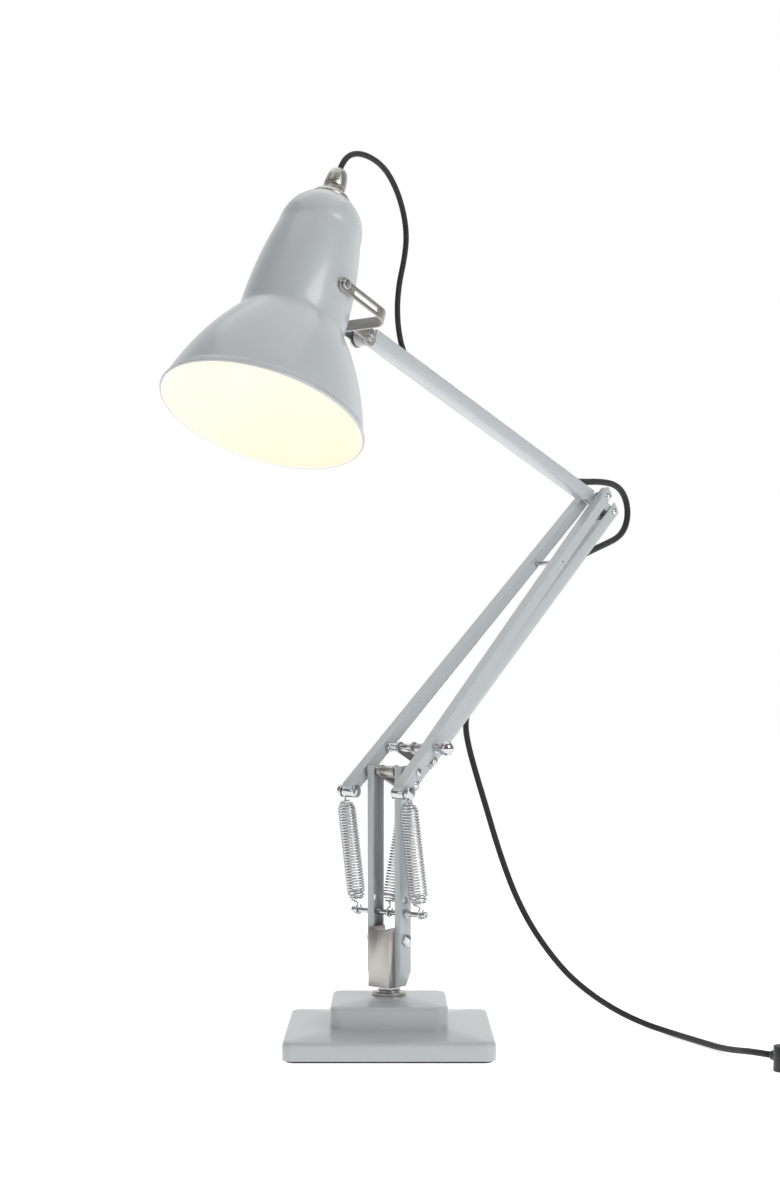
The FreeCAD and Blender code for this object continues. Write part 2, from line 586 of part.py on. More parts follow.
recess = fuse(box(3.4, 3, 0.7, at(-1.7, lug_out + 1.2, -0.35)),
              box(0.7, 3, 3.4, at(-0.35, lug_out + 1.2, -1.7)))
part("yoke_hinge_screw", cut(fuse(pin(2.0, 0, 0, -lug_out - 3.0, lug_out),
                                  pin(3.7, 0, 0, lug_out, lug_out + 1.9)), recess), yoke)
part("yoke_hinge_nut", cut(pin(3.6, 0, 0, -lug_out - 2.6, -lug_out), pin(2.0, 0, 0, -40, 40)), yoke)

# ---- shade: spun bell and neck, with its fittings
wall, rim = dim("shade_wall"), dim("rim_radius")
neck_r, neck_z = dim("neck_radius"), dim("neck_height")
crease_r, crease_z = dim("crease_radius"), dim("crease_height")
CREASE_STEP, TOP, TOP_RADIUS, THROAT = 2.5, 174.0, 15.6, 6.0
BELL_MID, NECK_MID, SHOULDER_MID = (58.4, 36.5), (35.6, 112.0), (26.2, 162.4)


def shade_side(inset):
    """The side of the shade from rim to crown, moved inwards by a wall."""
    drop = 1.0 if inset else 0.0
    return [((rim - inset, 0), (BELL_MID[0] - inset, BELL_MID[1]), (crease_r - inset, crease_z)),
            ((crease_r - inset, crease_z), (crease_r - inset - 0.4, crease_z + CREASE_STEP)),
            ((crease_r - inset - 0.4, crease_z + CREASE_STEP), (NECK_MID[0] - inset, NECK_MID[1]),
             (neck_r - inset, neck_z)),
            ((neck_r - inset, neck_z), (SHOULDER_MID[0] - inset, SHOULDER_MID[1] - drop * 0.6),
             (TOP_RADIUS - inset * 0.4, TOP - drop)),
            ((TOP_RADIUS - inset * 0.4, TOP - drop), (THROAT, TOP - drop))]


def reverse(segments):
    return [tuple(reversed(segment)) for segment in reversed(segments)]


shell_outline = (shade_side(0.0) + [((THROAT, TOP), (THROAT, TOP - 1.0))] + reverse(shade_side(wall))
                 + [((rim - wall, 0), (rim, 0))])
shell = doc.addObject("PartDesign::Body", "Shell")
spin = shell.newObject("PartDesign::Revolution", "Spin")
spin.Profile = sketch_on(shell, "XZ_Plane", "Profile", shell_outline)
spin.ReferenceAxis = (spin.Profile[0], ["V_Axis"])
spin.Angle = 360
rise = dim("pivot_rise")
part("shade", cut(fuse(shell, ring(rim, 1.1, at())),
                  pin(PIVOT_SCREW, 0, rise, -60, 60)), shade_frame)

cap_steps = [(THROAT, 174.0), (15.2, 174.0), (15.2, 175.4), (12.8, 178.6), (8.8, 181.4), (7.2, 182.2),
             (7.2, 185.4), (4.0, 185.4), (4.0, 178.0), (THROAT, 178.0)]
revolved("shade_cap", polygon(cap_steps), shade_frame)
CORD_BORE = dim("head_cord") / 2
gland_steps = [(CORD_BORE, 185.4), (7.9, 185.4), (8.1, 188.0), (7.3, 194.6), (6.0, 198.6), (4.6, 200.2),
               (CORD_BORE, 200.2)]
revolved("cord_gland", polygon(gland_steps), shade_frame)
holder_steps = [(0, 122.0), (15.6, 122.0), (15.6, 150.0), (12.5, 156.0), (12.5, 172.0),
                (THROAT - 0.1, 173.0), (THROAT - 0.1, 177.8), (0, 177.8)]
revolved("lampholder", polygon(holder_steps), shade_frame)
BULB_FOOT, GLOBE, GLASS = 121.8, 27.0, 0.9
revolved("bulb_cap", polygon([(0, 104.0), (11.6, 104.0), (12.6, 106.0), (12.6, BULB_FOOT), (0, BULB_FOOT)]),
         shade_frame)
TIP = 3.0
revolved("bulb_glass", [((0, 46.0), (TIP, 46.0)), ((TIP, 46.0), (20.2, 54.6), (GLOBE, 74.0)),
                        ((GLOBE, 74.0), (23.0, 88.6), (12.2, 103.9)),
                        ((12.2, 103.9), (12.2 - GLASS, 103.9)),
                        ((12.2 - GLASS, 103.9), (23.0 - GLASS, 88.4), (GLOBE - GLASS, 74.0)),
                        ((GLOBE - GLASS, 74.0), (19.6, 55.3), (TIP, 46.9)), ((TIP, 46.9), (0, 46.9)),
                        ((0, 46.9), (0, 46.0))], shade_frame)


def neck_at(height):
    """Outer radius of the neck at a height, from the arc through its three points."""
    low, mid, high = (crease_r - 0.4, crease_z + CREASE_STEP), NECK_MID, (neck_r, neck_z)
    arc = Part.Arc(*[Vector(r, z, 0) for r, z in (low, mid, high)]).toShape()
    level = Part.makeLine(Vector(0, height, 0), Vector(80, height, 0))
    return arc.distToShape(level)[1][0][0].x


pivot_r = neck_at(rise)


def pivot_screw(side):
    head_low = out_y + 0.5 if side > 0 else -out_y - 2.7
    nut_low = pivot_r - wall - 3.4 if side > 0 else -pivot_r + wall + 1.0
    low, high = sorted((side * (pivot_r - wall - 3.2), side * (out_y + 2.4)))
    return fuse(pin(PIVOT_SCREW, 0, rise, low, high), pin(3.5, 0, rise, head_low, head_low + 2.2),
                pin(3.2, 0, rise, nut_low, nut_low + 2.4))


part("shade_pivot_screws", both_sides(pivot_screw), shade_frame)
part("pivot_screw_washers", hollow_pair(4.4, PIVOT_SCREW, 0, rise, pivot_r + 0.3, in_y - 0.3), shade_frame)

# ---- leads: straight runs joined by tangent arcs
FIT = 0.45
checks = []


def lead(node, diameter, points, frame=None):
    """A round lead through its route points; each corner is rounded by an arc tangent to both runs."""
    stops = [Vector(*point) for point in points]
    edges, radii, length, here = [], [], 0.0, stops[0]
    for before, corner, after in zip(stops, stops[1:], stops[2:]):
        into, out = corner - before, after - corner
        half_turn = into.getAngle(out) / 2
        reach = FIT * min(into.Length, out.Length)
        radius = reach / math.tan(half_turn)
        start, end = corner - into.normalize() * reach, corner + out.normalize() * reach
        middle = corner + (start + end - corner * 2).normalize() * (radius / math.cos(half_turn) - radius)
        edges += [Part.LineSegment(here, start).toShape(), Part.Arc(start, middle, end).toShape()]
        length += (start - here).Length + radius * half_turn * 2
        radii.append(radius)
        here = end
    edges.append(Part.LineSegment(here, stops[-1]).toShape())
    length += (stops[-1] - here).Length
    ring_edge = Part.makeCircle(diameter / 2, stops[0], stops[1] - stops[0])
    solid = Part.Wire(edges).makePipeShell([Part.Wire([ring_edge])], True, False)
    obj = doc.addObject("Part::Feature", node)
    obj.Shape = solid
    checks.append((node, length, min(radii), diameter, solid.Volume))
    return part(node, obj, frame)


def halves(points, index):
    """Splits a route in two at the middle of the run that starts at the given point."""
    middle = tuple((a + b) / 2 for a, b in zip(points[index], points[index + 1]))
    return points[:index + 1] + [middle], [middle] + points[index + 1:]


gland_top = in_plane(shade_frame, 0, 200.2)
HEAD_ROUTE = [(gland_top[0], 0, gland_top[1]), (53.1, 0, 637.3), (41.5, 0, 645.0), (24.0, 0, 646.5),
              (5.0, 0, 641.5), (-9.0, 0, 628.5), (-17.9, 0, 612.0), (-21.2, 0, 594.5), (-17.6, 0, 576.5),
              (-11.8, 0, 559.5), (-9.4, 0, 541.5), (-11.0, 0, 525.0), (-16.5, 0, 510.0), (-27.5, 0, 500.0),
              (-40.8, 0, 495.5)]
ELBOW_ROUTE = [(320.9, 0, -48.1), (329.3, 0, -36.4), (340.9, 0, -27.1), (353.0, 0, -18.5), (365.4, 0, -10.6),
               (378.0, 0, -1.5), (389.5, 0, 8.4), (396.1, 0, 18.6), (397.6, 0, 29.4), (393.8, 0, 39.4),
               (385.6, 0, 46.2), (374.8, 0, 48.6), (362.6, 0, 46.4), (349.2, 0, 41.4), (335.2, 0, 35.9),
               (320.8, 0, 30.3), (306.6, 0, 25.8), (292.0, 0, 22.9), (277.5, 0, 22.0)]
MAINS_ROUTE = [(75.0, 96.0, 268.4), (66.6, 85.3, 257.5), (60.0, 76.8, 244.2), (58.6, 77.4, 230.5),
               (61.5, 77.6, 214.5), (67.6, 76.6, 192.6), (74.6, 75.7, 169.4), (81.3, 74.9, 146.3),
               (88.7, 73.4, 123.5), (97.3, 71.9, 101.1), (108.1, 70.2, 79.7), (121.5, 68.1, 59.9),
               (136.9, 66.1, 41.5), (155.3, 64.1, 26.3), (175.6, 61.0, 13.8), (196.0, 53.6, 5.4),
               (211.4, 37.4, 2.5), (220.6, 15.2, 2.5), (230.1, -6.9, 2.5), (238.2, -29.2, 3.0),
               (245.4, -51.2, 5.2), (252.0, -73.1, 8.5), (264.0, -86.5, 8.5)]
COIL_ROUTE = [(313.5, -141.5, 8.5), (321.5, -150.4, 8.5), (333.6, -155.8, 6.4), (347.4, -158.2, 3.4),
              (361.5, -158.8, 2.6), (375.3, -158.8, 2.6)]
PLUG_ROUTE = [(381.3, -158.8, 2.6), (394.7, -158.0, 2.6), (407.9, -154.4, 2.6), (419.7, -147.4, 2.8),
              (429.1, -137.2, 4.0), (435.5, -125.0, 5.8), (438.3, -112.2, 7.2)]

upper_half, lower_half = halves(HEAD_ROUTE, 6)
lead("head_lead_upper", dim("head_cord"), upper_half, turned)
lead("head_lead_lower", dim("head_cord"), lower_half, turned)
lead("elbow_lead", dim("elbow_cord"), ELBOW_ROUTE, lower)
hanging, resting = halves(MAINS_ROUTE, 14)
lead("mains_lead_hanging", dim("mains_cord"), hanging)
lead("mains_lead_floor", dim("mains_cord"), resting)
lead("mains_lead_coil_end", dim("mains_cord"), COIL_ROUTE)
lead("mains_lead_plug_end", dim("mains_cord"), PLUG_ROUTE)

# ---- in-line switch, the rest of the lead as a tied coil, and the plug
def heading(a, b):
    return math.degrees(math.atan2(b[1] - a[1], b[0] - a[0]))


SWITCH_LONG, SWITCH_WIDE, SWITCH_HIGH, SLEEVE = 62.0, 24.0, 17.0, 6.0
WELL_LONG, WELL_WIDE, WELL_FLOOR, ROCKER_AXIS = 22.0, 13.0, 9.6, 14.2
lead_in, lead_out = MAINS_ROUTE[-1], COIL_ROUTE[0]
switch_frame = at(lead_in[0], lead_in[1], 0, turn=heading(lead_in, lead_out))
sleeve_level = lead_in[2]
housing = doc.addObject("PartDesign::Body", "Housing")
half_wide, end_x = SWITCH_WIDE / 2, SLEEVE + SWITCH_LONG
HOUSING_CORNER = 9.0
housing_bend = HOUSING_CORNER * (1 - math.sqrt(0.5))
housing_outline = []
for sx, sy in ((1, -1), (1, 1), (-1, 1), (-1, -1)):
    cx = end_x if sx > 0 else SLEEVE
    corner = [(cx - sx * HOUSING_CORNER, sy * half_wide),
              (cx - sx * housing_bend, sy * (half_wide - housing_bend)),
              (cx, sy * (half_wide - HOUSING_CORNER))]
    housing_outline.append(tuple(corner if sx * sy < 0 else corner[::-1]))
housing_outline = [piece for k, arc in enumerate(housing_outline)
                   for piece in (arc, (arc[-1], housing_outline[(k + 1) % 4][0]))]
housing_pad = housing.newObject("PartDesign::Pad", "Block")
housing_pad.Profile = sketch_on(housing, "XY_Plane", "Plan", housing_outline)
housing_pad.Length = SWITCH_HIGH
middle = SLEEVE + SWITCH_LONG / 2
part("switch_housing", cut(
    fuse(housing, cone(3.2, 4.6, SLEEVE + 0.5, at(0, 0, sleeve_level, (0, 1, 0), 90)),
         cone(4.6, 3.2, SLEEVE + 0.5, at(end_x - 0.5, 0, sleeve_level, (0, 1, 0), 90))),
    box(WELL_LONG, WELL_WIDE, 20, at(middle - WELL_LONG / 2, -WELL_WIDE / 2, WELL_FLOOR)),
    pin(1.25, middle, ROCKER_AXIS, -8.5, 8.5)), switch_frame)
ROCKER_LONG, ROCKER_WIDE, ROCKER_THICK, ROCKER_TILT = 20.4, 12.0, 4.4, 8.0
rocker_at = switch_frame.multiply(at(middle, 0, ROCKER_AXIS, (0, 1, 0), ROCKER_TILT))
part("switch_rocker", fuse(
    box(ROCKER_LONG, ROCKER_WIDE, ROCKER_THICK, at(-ROCKER_LONG / 2, -ROCKER_WIDE / 2, -1.6)),
    pin(1.2, 0, 0, -8.3, 8.3)), rocker_at)

COIL_INNER, COIL_OUTER, COIL_HIGH, LAY = 16.0, 34.7, 9.4, 37.4
TIE_HALF = (PLUG_ROUTE[0][0] - COIL_ROUTE[-1][0]) / 2
coil_frame = at(COIL_ROUTE[-1][0] + TIE_HALF, COIL_ROUTE[-1][1] + LAY, 0)
ROUND = 1.8
coil_outline = [(COIL_INNER + ROUND, 0), (COIL_OUTER - ROUND, 0), (COIL_OUTER, ROUND),
                (COIL_OUTER, COIL_HIGH - ROUND), (COIL_OUTER - ROUND, COIL_HIGH),
                (COIL_INNER + ROUND, COIL_HIGH), (COIL_INNER, COIL_HIGH - ROUND), (COIL_INNER, ROUND)]
revolved("lead_coil", polygon(coil_outline), coil_frame)
tie_block = box(2 * TIE_HALF, 27.0, 10.6, at(-TIE_HALF, -41.4, 0))
tie_core = cut(rod(COIL_OUTER, COIL_HIGH + 1, at(z=-1)), rod(COIL_INNER, COIL_HIGH + 1, at(z=-1)))
part("coil_tie", cut(tie_block, tie_core), coil_frame)

PLUG_LONG, PLUG_HIGH, PIN_SPACE, PIN_LONG = 34.0, 13.6, 18.6, 19.0
plug_in = PLUG_ROUTE[-1]
plug_frame = at(*plug_in, turn=heading(PLUG_ROUTE[-2], plug_in))
plug = fuse(cone(3.2, 5.4, 9, at(0, 0, 0, (0, 1, 0), 90)),
            box(PLUG_LONG - 8, 27.0, PLUG_HIGH, at(8, -13.5, -PLUG_HIGH / 2)))
part("plug_body", plug, plug_frame)
part("plug_pins", both_sides(
    lambda side: rod(2.0, PIN_LONG, at(PLUG_LONG, side * PIN_SPACE / 2, 0, (0, 1, 0), 90))), plug_frame)

# ---- checks and export
doc.recompute()
broken = [f"{obj.Label} ({obj.Name})" for obj in doc.Objects if {"Invalid", "Error"} & set(obj.State)]
if broken:
    raise RuntimeError("did not build: " + ", ".join(broken))
for node, length, radius, diameter, volume in checks:
    section = math.pi * diameter ** 2 / 4
    print(f"{node}: {length:.0f} mm long, smallest radius {radius:.1f} mm, {radius / diameter:.1f} diameters, "
          f"volume {volume / (section * length):.4f} of section x length")
os.makedirs("parts", exist_ok=True)
for obj in parts:
    if obj.Shape.isNull() or not obj.Shape.isValid():
        raise RuntimeError(f"{obj.Label}: bad shape")
    obj.Shape.exportStep(f"parts/{obj.Label}.step")
    extent = obj.Shape.BoundBox
    print(f"{obj.Label:22s} solids {len(obj.Shape.Solids)} volume {obj.Shape.Volume:10.1f} "
          f"z {extent.ZMin:7.2f} {extent.ZMax:7.2f}")
print(len(parts), "parts")
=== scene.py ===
import json
import math

import bmesh
import bpy
from mathutils import Matrix, Vector


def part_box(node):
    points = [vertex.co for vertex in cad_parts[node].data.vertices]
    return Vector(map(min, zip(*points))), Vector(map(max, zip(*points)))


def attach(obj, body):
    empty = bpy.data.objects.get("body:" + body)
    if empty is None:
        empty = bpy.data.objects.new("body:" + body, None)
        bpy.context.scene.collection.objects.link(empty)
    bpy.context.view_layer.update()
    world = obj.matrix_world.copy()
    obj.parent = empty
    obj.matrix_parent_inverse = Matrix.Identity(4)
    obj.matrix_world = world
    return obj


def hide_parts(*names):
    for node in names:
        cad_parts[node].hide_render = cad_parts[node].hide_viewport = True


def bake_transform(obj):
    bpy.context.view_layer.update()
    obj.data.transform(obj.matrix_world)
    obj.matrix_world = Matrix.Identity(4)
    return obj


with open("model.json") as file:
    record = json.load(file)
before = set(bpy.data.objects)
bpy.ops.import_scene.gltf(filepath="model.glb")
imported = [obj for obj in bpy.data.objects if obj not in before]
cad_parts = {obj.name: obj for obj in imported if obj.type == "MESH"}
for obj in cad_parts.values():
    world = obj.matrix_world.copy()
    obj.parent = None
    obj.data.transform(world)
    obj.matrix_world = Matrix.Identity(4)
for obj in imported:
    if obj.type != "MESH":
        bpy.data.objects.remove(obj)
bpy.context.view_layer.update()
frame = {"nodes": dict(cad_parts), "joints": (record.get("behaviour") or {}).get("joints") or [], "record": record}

MM = 0.001


# ---------------------------------------------------------------- camera
# A plain studio camera at table level with the arms, looking level along +Y. The picture is framed by
# the lens shift, so that the uprights stay parallel.
camera_data = bpy.data.cameras.new("studio_camera")
camera_data.lens = 61.22
camera_data.shift_y = 0.0694
camera_data.clip_start = 0.05
camera = bpy.data.objects.new("studio_camera", camera_data)
camera.location = (0.0006, -1.490, 0.2665)
camera.rotation_euler = (math.radians(90), 0, 0)
bpy.context.scene.collection.objects.link(camera)
bpy.context.scene.camera = camera


# ---------------------------------------------------------------- leads
# Black braided lamp flex: round rubber cable in a woven textile sleeve. It runs from the shade into the
# square upper arm, loops round the elbow into the control link, and drops from there to the floor.
hinges = {j["name"]: Vector(j["pos_m"]) for j in frame["joints"]}
side = Vector(next(j["axis"] for j in frame["joints"] if j["name"] == "shoulder")).normalized()
forward = Vector((side.y, -side.x, 0))
up = Vector((0, 0, 1))
shoulder, elbow = hinges["shoulder"], hinges["elbow"]
along = (elbow - shoulder).normalized()
behind = along.cross(side)


def in_lamp(x, z, across=0.0):
    """A point of the upright plane through the arms, in millimetres, as a place in metres."""
    return (forward * x + side * across + up * z) * MM


def by_arm(x, z, across=0.0):
    """A point of the lower arm's own frame: x towards the elbow, z behind the arm, in millimetres."""
    return shoulder + (along * x + side * across + behind * z) * MM


def srgb(code):
    """A hex colour as linear values."""
    parts = [int(code[i:i + 2], 16) / 255 for i in (1, 3, 5)]
    return tuple(c / 12.92 if c <= 0.04045 else ((c + 0.055) / 1.055) ** 2.4 for c in parts) + (1.0,)


def add(tree, kind, settings=None, **links):
    """One node: its settings by attribute, its sockets by name or number, given as values or outputs."""
    node = tree.nodes.new(kind)
    for key, value in (settings or {}).items():
        setattr(node, key, value)
    for key, value in links.items():
        name = key[1:] if key.startswith("_") else key.replace("_", " ")
        socket = node.inputs[int(name)] if name.isdigit() else node.inputs[name]
        if isinstance(value, bpy.types.NodeSocket):
            tree.links.new(value, socket)
        else:
            socket.default_value = value
    return node


def finish_of(name):
    """A new material with its shader and output, and the tree to build on."""
    material = bpy.data.materials.new(name)
    material.use_nodes = True
    return material, material.node_tree, material.node_tree.nodes["Principled BSDF"]


# Braided polyester sleeve over rubber: dark, slightly shiny threads crossing in diamonds. The real
# diamonds are about 1 mm; they are drawn 1.8 mm long so that they show.
BRAID_PITCH, BRAID_STRANDS = 1.8, 10
braid, tree, shader = finish_of("braided_black_textile_sleeve")
uv = add(tree, "ShaderNodeTexCoord").outputs["UV"]
run = add(tree, "ShaderNodeSeparateXYZ", Vector=uv)
rings = add(tree, "ShaderNodeMath", {"operation": "MULTIPLY"}, _0=run.outputs["X"],
            _1=2 * math.pi / BRAID_PITCH)
turns = add(tree, "ShaderNodeMath", {"operation": "MULTIPLY"}, _0=run.outputs["Y"],
            _1=2 * math.pi * BRAID_STRANDS)
waves = []
for operation in ("ADD", "SUBTRACT"):
    angle = add(tree, "ShaderNodeMath", {"operation": operation}, _0=rings.outputs[0], _1=turns.outputs[0])
    waves.append(add(tree, "ShaderNodeMath", {"operation": "SINE"}, _0=angle.outputs[0]).outputs[0])
diamonds = add(tree, "ShaderNodeMath", {"operation": "MULTIPLY"}, _0=waves[0], _1=waves[1]).outputs[0]
level = add(tree, "ShaderNodeMapRange", Value=diamonds, From_Min=-1.0, From_Max=1.0).outputs[0]
thread = add(tree, "ShaderNodeMix", {"data_type": "RGBA"}, Factor=level)
thread.inputs["A"].default_value, thread.inputs["B"].default_value = srgb("#08090a"), srgb("#191a1c")
tree.links.new(thread.outputs["Result"], shader.inputs["Base Color"])
shader.inputs["Roughness"].default_value = 0.62
shader.inputs["Sheen Weight"].default_value = 0.06
shader.inputs["Sheen Roughness"].default_value = 0.5
bump = add(tree, "ShaderNodeBump", Height=level, Strength=0.5, Distance=0.0003)
tree.links.new(bump.outputs["Normal"], shader.inputs["Normal"])

LEAD_SIDES = 14


def line_of(route):
    """The smooth line of a route of control points, as a list of points."""
    curve = bpy.data.curves.new("line", "CURVE")
    curve.dimensions = "3D"
    spline = curve.splines.new("NURBS")
    spline.points.add(len(route) - 1)
    for point, place in zip(spline.points, route):
        point.co = (*place, 1.0)
    spline.order_u = 3
    spline.use_endpoint_u = True
    spline.resolution_u = 8
    holder = bpy.data.objects.new("line", curve)
    bpy.context.scene.collection.objects.link(holder)
    graph = bpy.context.evaluated_depsgraph_get()
    mesh = bpy.data.meshes.new_from_object(holder.evaluated_get(graph))
    points = [vertex.co.copy() for vertex in mesh.vertices]
    bpy.data.objects.remove(holder)
    bpy.data.meshes.remove(mesh)
    return points


def tube_along(name, points, radius, material, sides=LEAD_SIDES, turned=0.0):
    """A closed round tube along a line, with a UV of millimetres along and one turn around."""
    tangents = [(b - a).normalized() for a, b in zip(points, points[1:])]
    tangents = [tangents[0]] + [(a + b).normalized() for a, b in zip(tangents, tangents[1:])] + [tangents[-1]]
    normal = tangents[0].orthogonal().normalized()
    mesh_builder = bmesh.new()
    uv_layer = mesh_builder.loops.layers.uv.new("run")
    loops, lengths, length = [], [], 0.0
    for index, (place, tangent) in enumerate(zip(points, tangents)):
        if index:
            normal = tangents[index - 1].rotation_difference(tangent) @ normal
            length += (place - points[index - 1]).length
        normal = (normal - tangent * normal.dot(tangent)).normalized()
        other = tangent.cross(normal)
        loops.append([mesh_builder.verts.new(place + (normal * math.cos(a) + other * math.sin(a)) * radius)
                      for a in (2 * math.pi * k / sides + turned for k in range(sides))])
        lengths.append(length / MM)
    for low, high, u_low, u_high in zip(loops, loops[1:], lengths, lengths[1:]):
        for k in range(sides):
            j = (k + 1) % sides
            face = mesh_builder.faces.new((low[k], low[j], high[j], high[k]))
            face.smooth = True
            for loop, u, v in zip(face.loops, (u_low, u_low, u_high, u_high), (k, k + 1, k + 1, k)):
                loop[uv_layer].uv = (u, v / sides)
    mesh_builder.faces.new(loops[0][::-1])
    mesh_builder.faces.new(loops[-1])
    mesh = bpy.data.meshes.new(name)
    mesh_builder.to_mesh(mesh)
    mesh_builder.free()
    mesh.materials.append(material)
    piece = bpy.data.objects.new(name, mesh)
    bpy.context.scene.collection.objects.link(piece)
    return piece


def lay_lead(name, route, diameter, ways, node=()):
    """One length of flex: its tube, fixed in place when it runs between two bodies or carried by its one body,
    with the pieces it stands in for hidden.
    """
    points = line_of(route)
    piece = tube_along(name, points, diameter / 2 * MM, braid)
    if len(ways) == 2:
        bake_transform(piece)
    else:
        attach(piece, ways[0])
    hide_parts(*node)
    return piece, points


def moulded(name, colour, rough, grain_size, depth):
    material, tree, shader = finish_of(name)
    place = add(tree, "ShaderNodeTexCoord").outputs["Object"]
    grain = add(tree, "ShaderNodeTexVoronoi", {"feature": "F1"}, Vector=place, Scale=1 / grain_size)
    spread = add(tree, "ShaderNodeMapRange", Value=grain.outputs["Distance"], To_Min=rough - 0.06,
                 To_Max=rough + 0.06).outputs[0]
    tree.links.new(spread, shader.inputs["Roughness"])
    bump = add(tree, "ShaderNodeBump", Height=grain.outputs["Distance"], Strength=0.3, Distance=depth)
    tree.links.new(bump.outputs["Normal"], shader.inputs["Normal"])
    shader.inputs["Base Color"].default_value = srgb(colour)
    shader.inputs["IOR"].default_value = 1.53
    return material


STATION = 15.0  # the spacing in millimetres at which a long piece is divided


def eased_piece(name, builder, material, width):
    """A piece from a mesh under construction, with its sharp edges rounded by a width in millimetres."""
    for face in builder.faces:
        face.smooth = True
        face.material_index = 0
    data = bpy.data.meshes.new(name)
    builder.to_mesh(data)
    builder.free()
    data.materials.append(material)
    piece = bpy.data.objects.new(name, data)
    bpy.context.scene.collection.objects.link(piece)
    ease = piece.modifiers.new("ease", "BEVEL")
    ease.width, ease.segments, ease.limit_method = width * MM, 2, "ANGLE"
    ease.angle_limit = math.radians(38)
    ease.harden_normals = True
    graph = bpy.context.evaluated_depsgraph_get()
    mesh = bpy.data.meshes.new_from_object(piece.evaluated_get(graph))
    piece.modifiers.remove(ease)
    piece.data = mesh
    return piece


def broken_edge(node, material, width, way=None):
    """A copy of the frame's piece with its edges eased, divided along a way if one is given."""
    builder = bmesh.new()
    builder.from_mesh(frame["nodes"][node].data)
    bmesh.ops.remove_doubles(builder, verts=builder.verts, dist=1e-6)
    bmesh.ops.dissolve_limit(builder, angle_limit=math.radians(0.6), verts=builder.verts, edges=builder.edges)
    if way:
        places = [vertex.co.dot(way) for vertex in builder.verts]
        for k in range(1, int((max(places) - min(places)) / MM / STATION)):
            bmesh.ops.bisect_plane(builder, geom=builder.verts[:] + builder.edges[:] + builder.faces[:],
                                   plane_co=way * (min(places) + k * STATION * MM), plane_no=way, dist=1e-6)
    piece = eased_piece(node + "_finished", builder, material, width)
    bodies = frame["record"]["behaviour"]["bodies"]
    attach(piece, next(b for b, members in bodies.items() if node in members))
    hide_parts(node)
    return piece


# The in-line switch and the plug are moulded in black ABS with a fine matt grain and well rounded edges.
abs_black = moulded("moulded_black_abs", "#17181a", 0.45, 0.9 * MM, 0.00004)
switch_housing = broken_edge("switch_housing", abs_black, 2.6)
switch_rocker = broken_edge("switch_rocker", abs_black, 0.8)
plug_body = broken_edge("plug_body", abs_black, 2.4)

HEAD_LEAD, ELBOW_LEAD, MAINS_LEAD = 4.2, 5.4, 4.6
shade_pivot = hinges["shade_tilt"]
SHADE_LEAN = math.radians(24.4)
shade_axis = (up * math.cos(SHADE_LEAN) - forward * math.sin(SHADE_LEAN)).normalized()
PIVOT_RISE, GLAND_TOP = 99.5, 200.2
rim_centre = shade_pivot - shade_axis * PIVOT_RISE * MM
gland_top = rim_centre + shade_axis * GLAND_TOP * MM

upper_route = [gland_top] + [in_lamp(x, z) for x, z in (
    (53.1, 637.3), (41.5, 645.0), (24.0, 646.5), (5.0, 641.5), (-9.0, 628.5), (-17.9, 612.0))]
lower_route = [in_lamp(x, z) for x, z in (
    (-21.2, 594.5), (-17.6, 576.5), (-11.8, 559.5), (-9.4, 541.5), (-11.0, 525.0), (-16.5, 510.0),
    (-27.5, 500.0), (-40.8, 495.5))]
parting = (upper_route[-1] + lower_route[0]) / 2
lay_lead("head_flex_by_shade", upper_route + [parting], HEAD_LEAD, ("shade", "yoke"),
         ("head_lead_upper",))
lay_lead("head_flex_by_arm", [parting] + lower_route, HEAD_LEAD, ("yoke", "upper_arm"),
         ("head_lead_lower",))

elbow_route = [by_arm(x, z) for x, z in (
    (320.9, -48.1), (329.3, -36.4), (340.9, -27.1), (353.0, -18.5), (365.4, -10.6), (378.0, -1.5),
    (389.5, 8.4), (396.1, 18.6), (397.6, 29.4), (393.8, 39.4), (385.6, 46.2), (374.8, 48.6), (362.6, 46.4),
    (349.2, 41.4), (335.2, 35.9), (320.8, 30.3), (306.6, 25.8), (292.0, 22.9), (277.5, 22.0))]
lay_lead("elbow_flex", elbow_route, ELBOW_LEAD, ("upper_arm", "link"), ("elbow_lead",))

fall_route = [Vector(p) * MM for p in (
    (75.0, 96.0, 268.4), (66.6, 85.3, 257.5), (60.0, 76.8, 244.2), (58.6, 77.4, 230.5), (61.5, 77.6, 214.5),
    (67.6, 76.6, 192.6), (74.6, 75.7, 169.4), (81.3, 74.9, 146.3))]
floor_route = [Vector(p) * MM for p in (
    (88.7, 73.4, 123.5), (97.3, 71.9, 101.1), (108.1, 70.2, 79.7), (121.5, 68.1, 59.9), (136.9, 66.1, 41.5),
    (155.3, 64.1, 26.3), (175.6, 61.0, 13.8), (196.0, 53.6, 5.4), (211.4, 37.4, 2.5), (220.6, 15.2, 2.5),
    (230.1, -6.9, 2.5), (238.2, -29.2, 3.0), (245.4, -51.2, 5.2), (252.0, -73.1, 8.5), (264.0, -86.5, 8.5))]
fall_end = (fall_route[-1] + floor_route[0]) / 2
lay_lead("mains_flex_fall", fall_route + [fall_end], MAINS_LEAD, ("lower_arm", "fork"),
         ("mains_lead_hanging",))
lay_lead("mains_flex_floor", [fall_end] + floor_route, MAINS_LEAD, ("fork", "base"),
         ("mains_lead_hanging", "mains_lead_floor"))

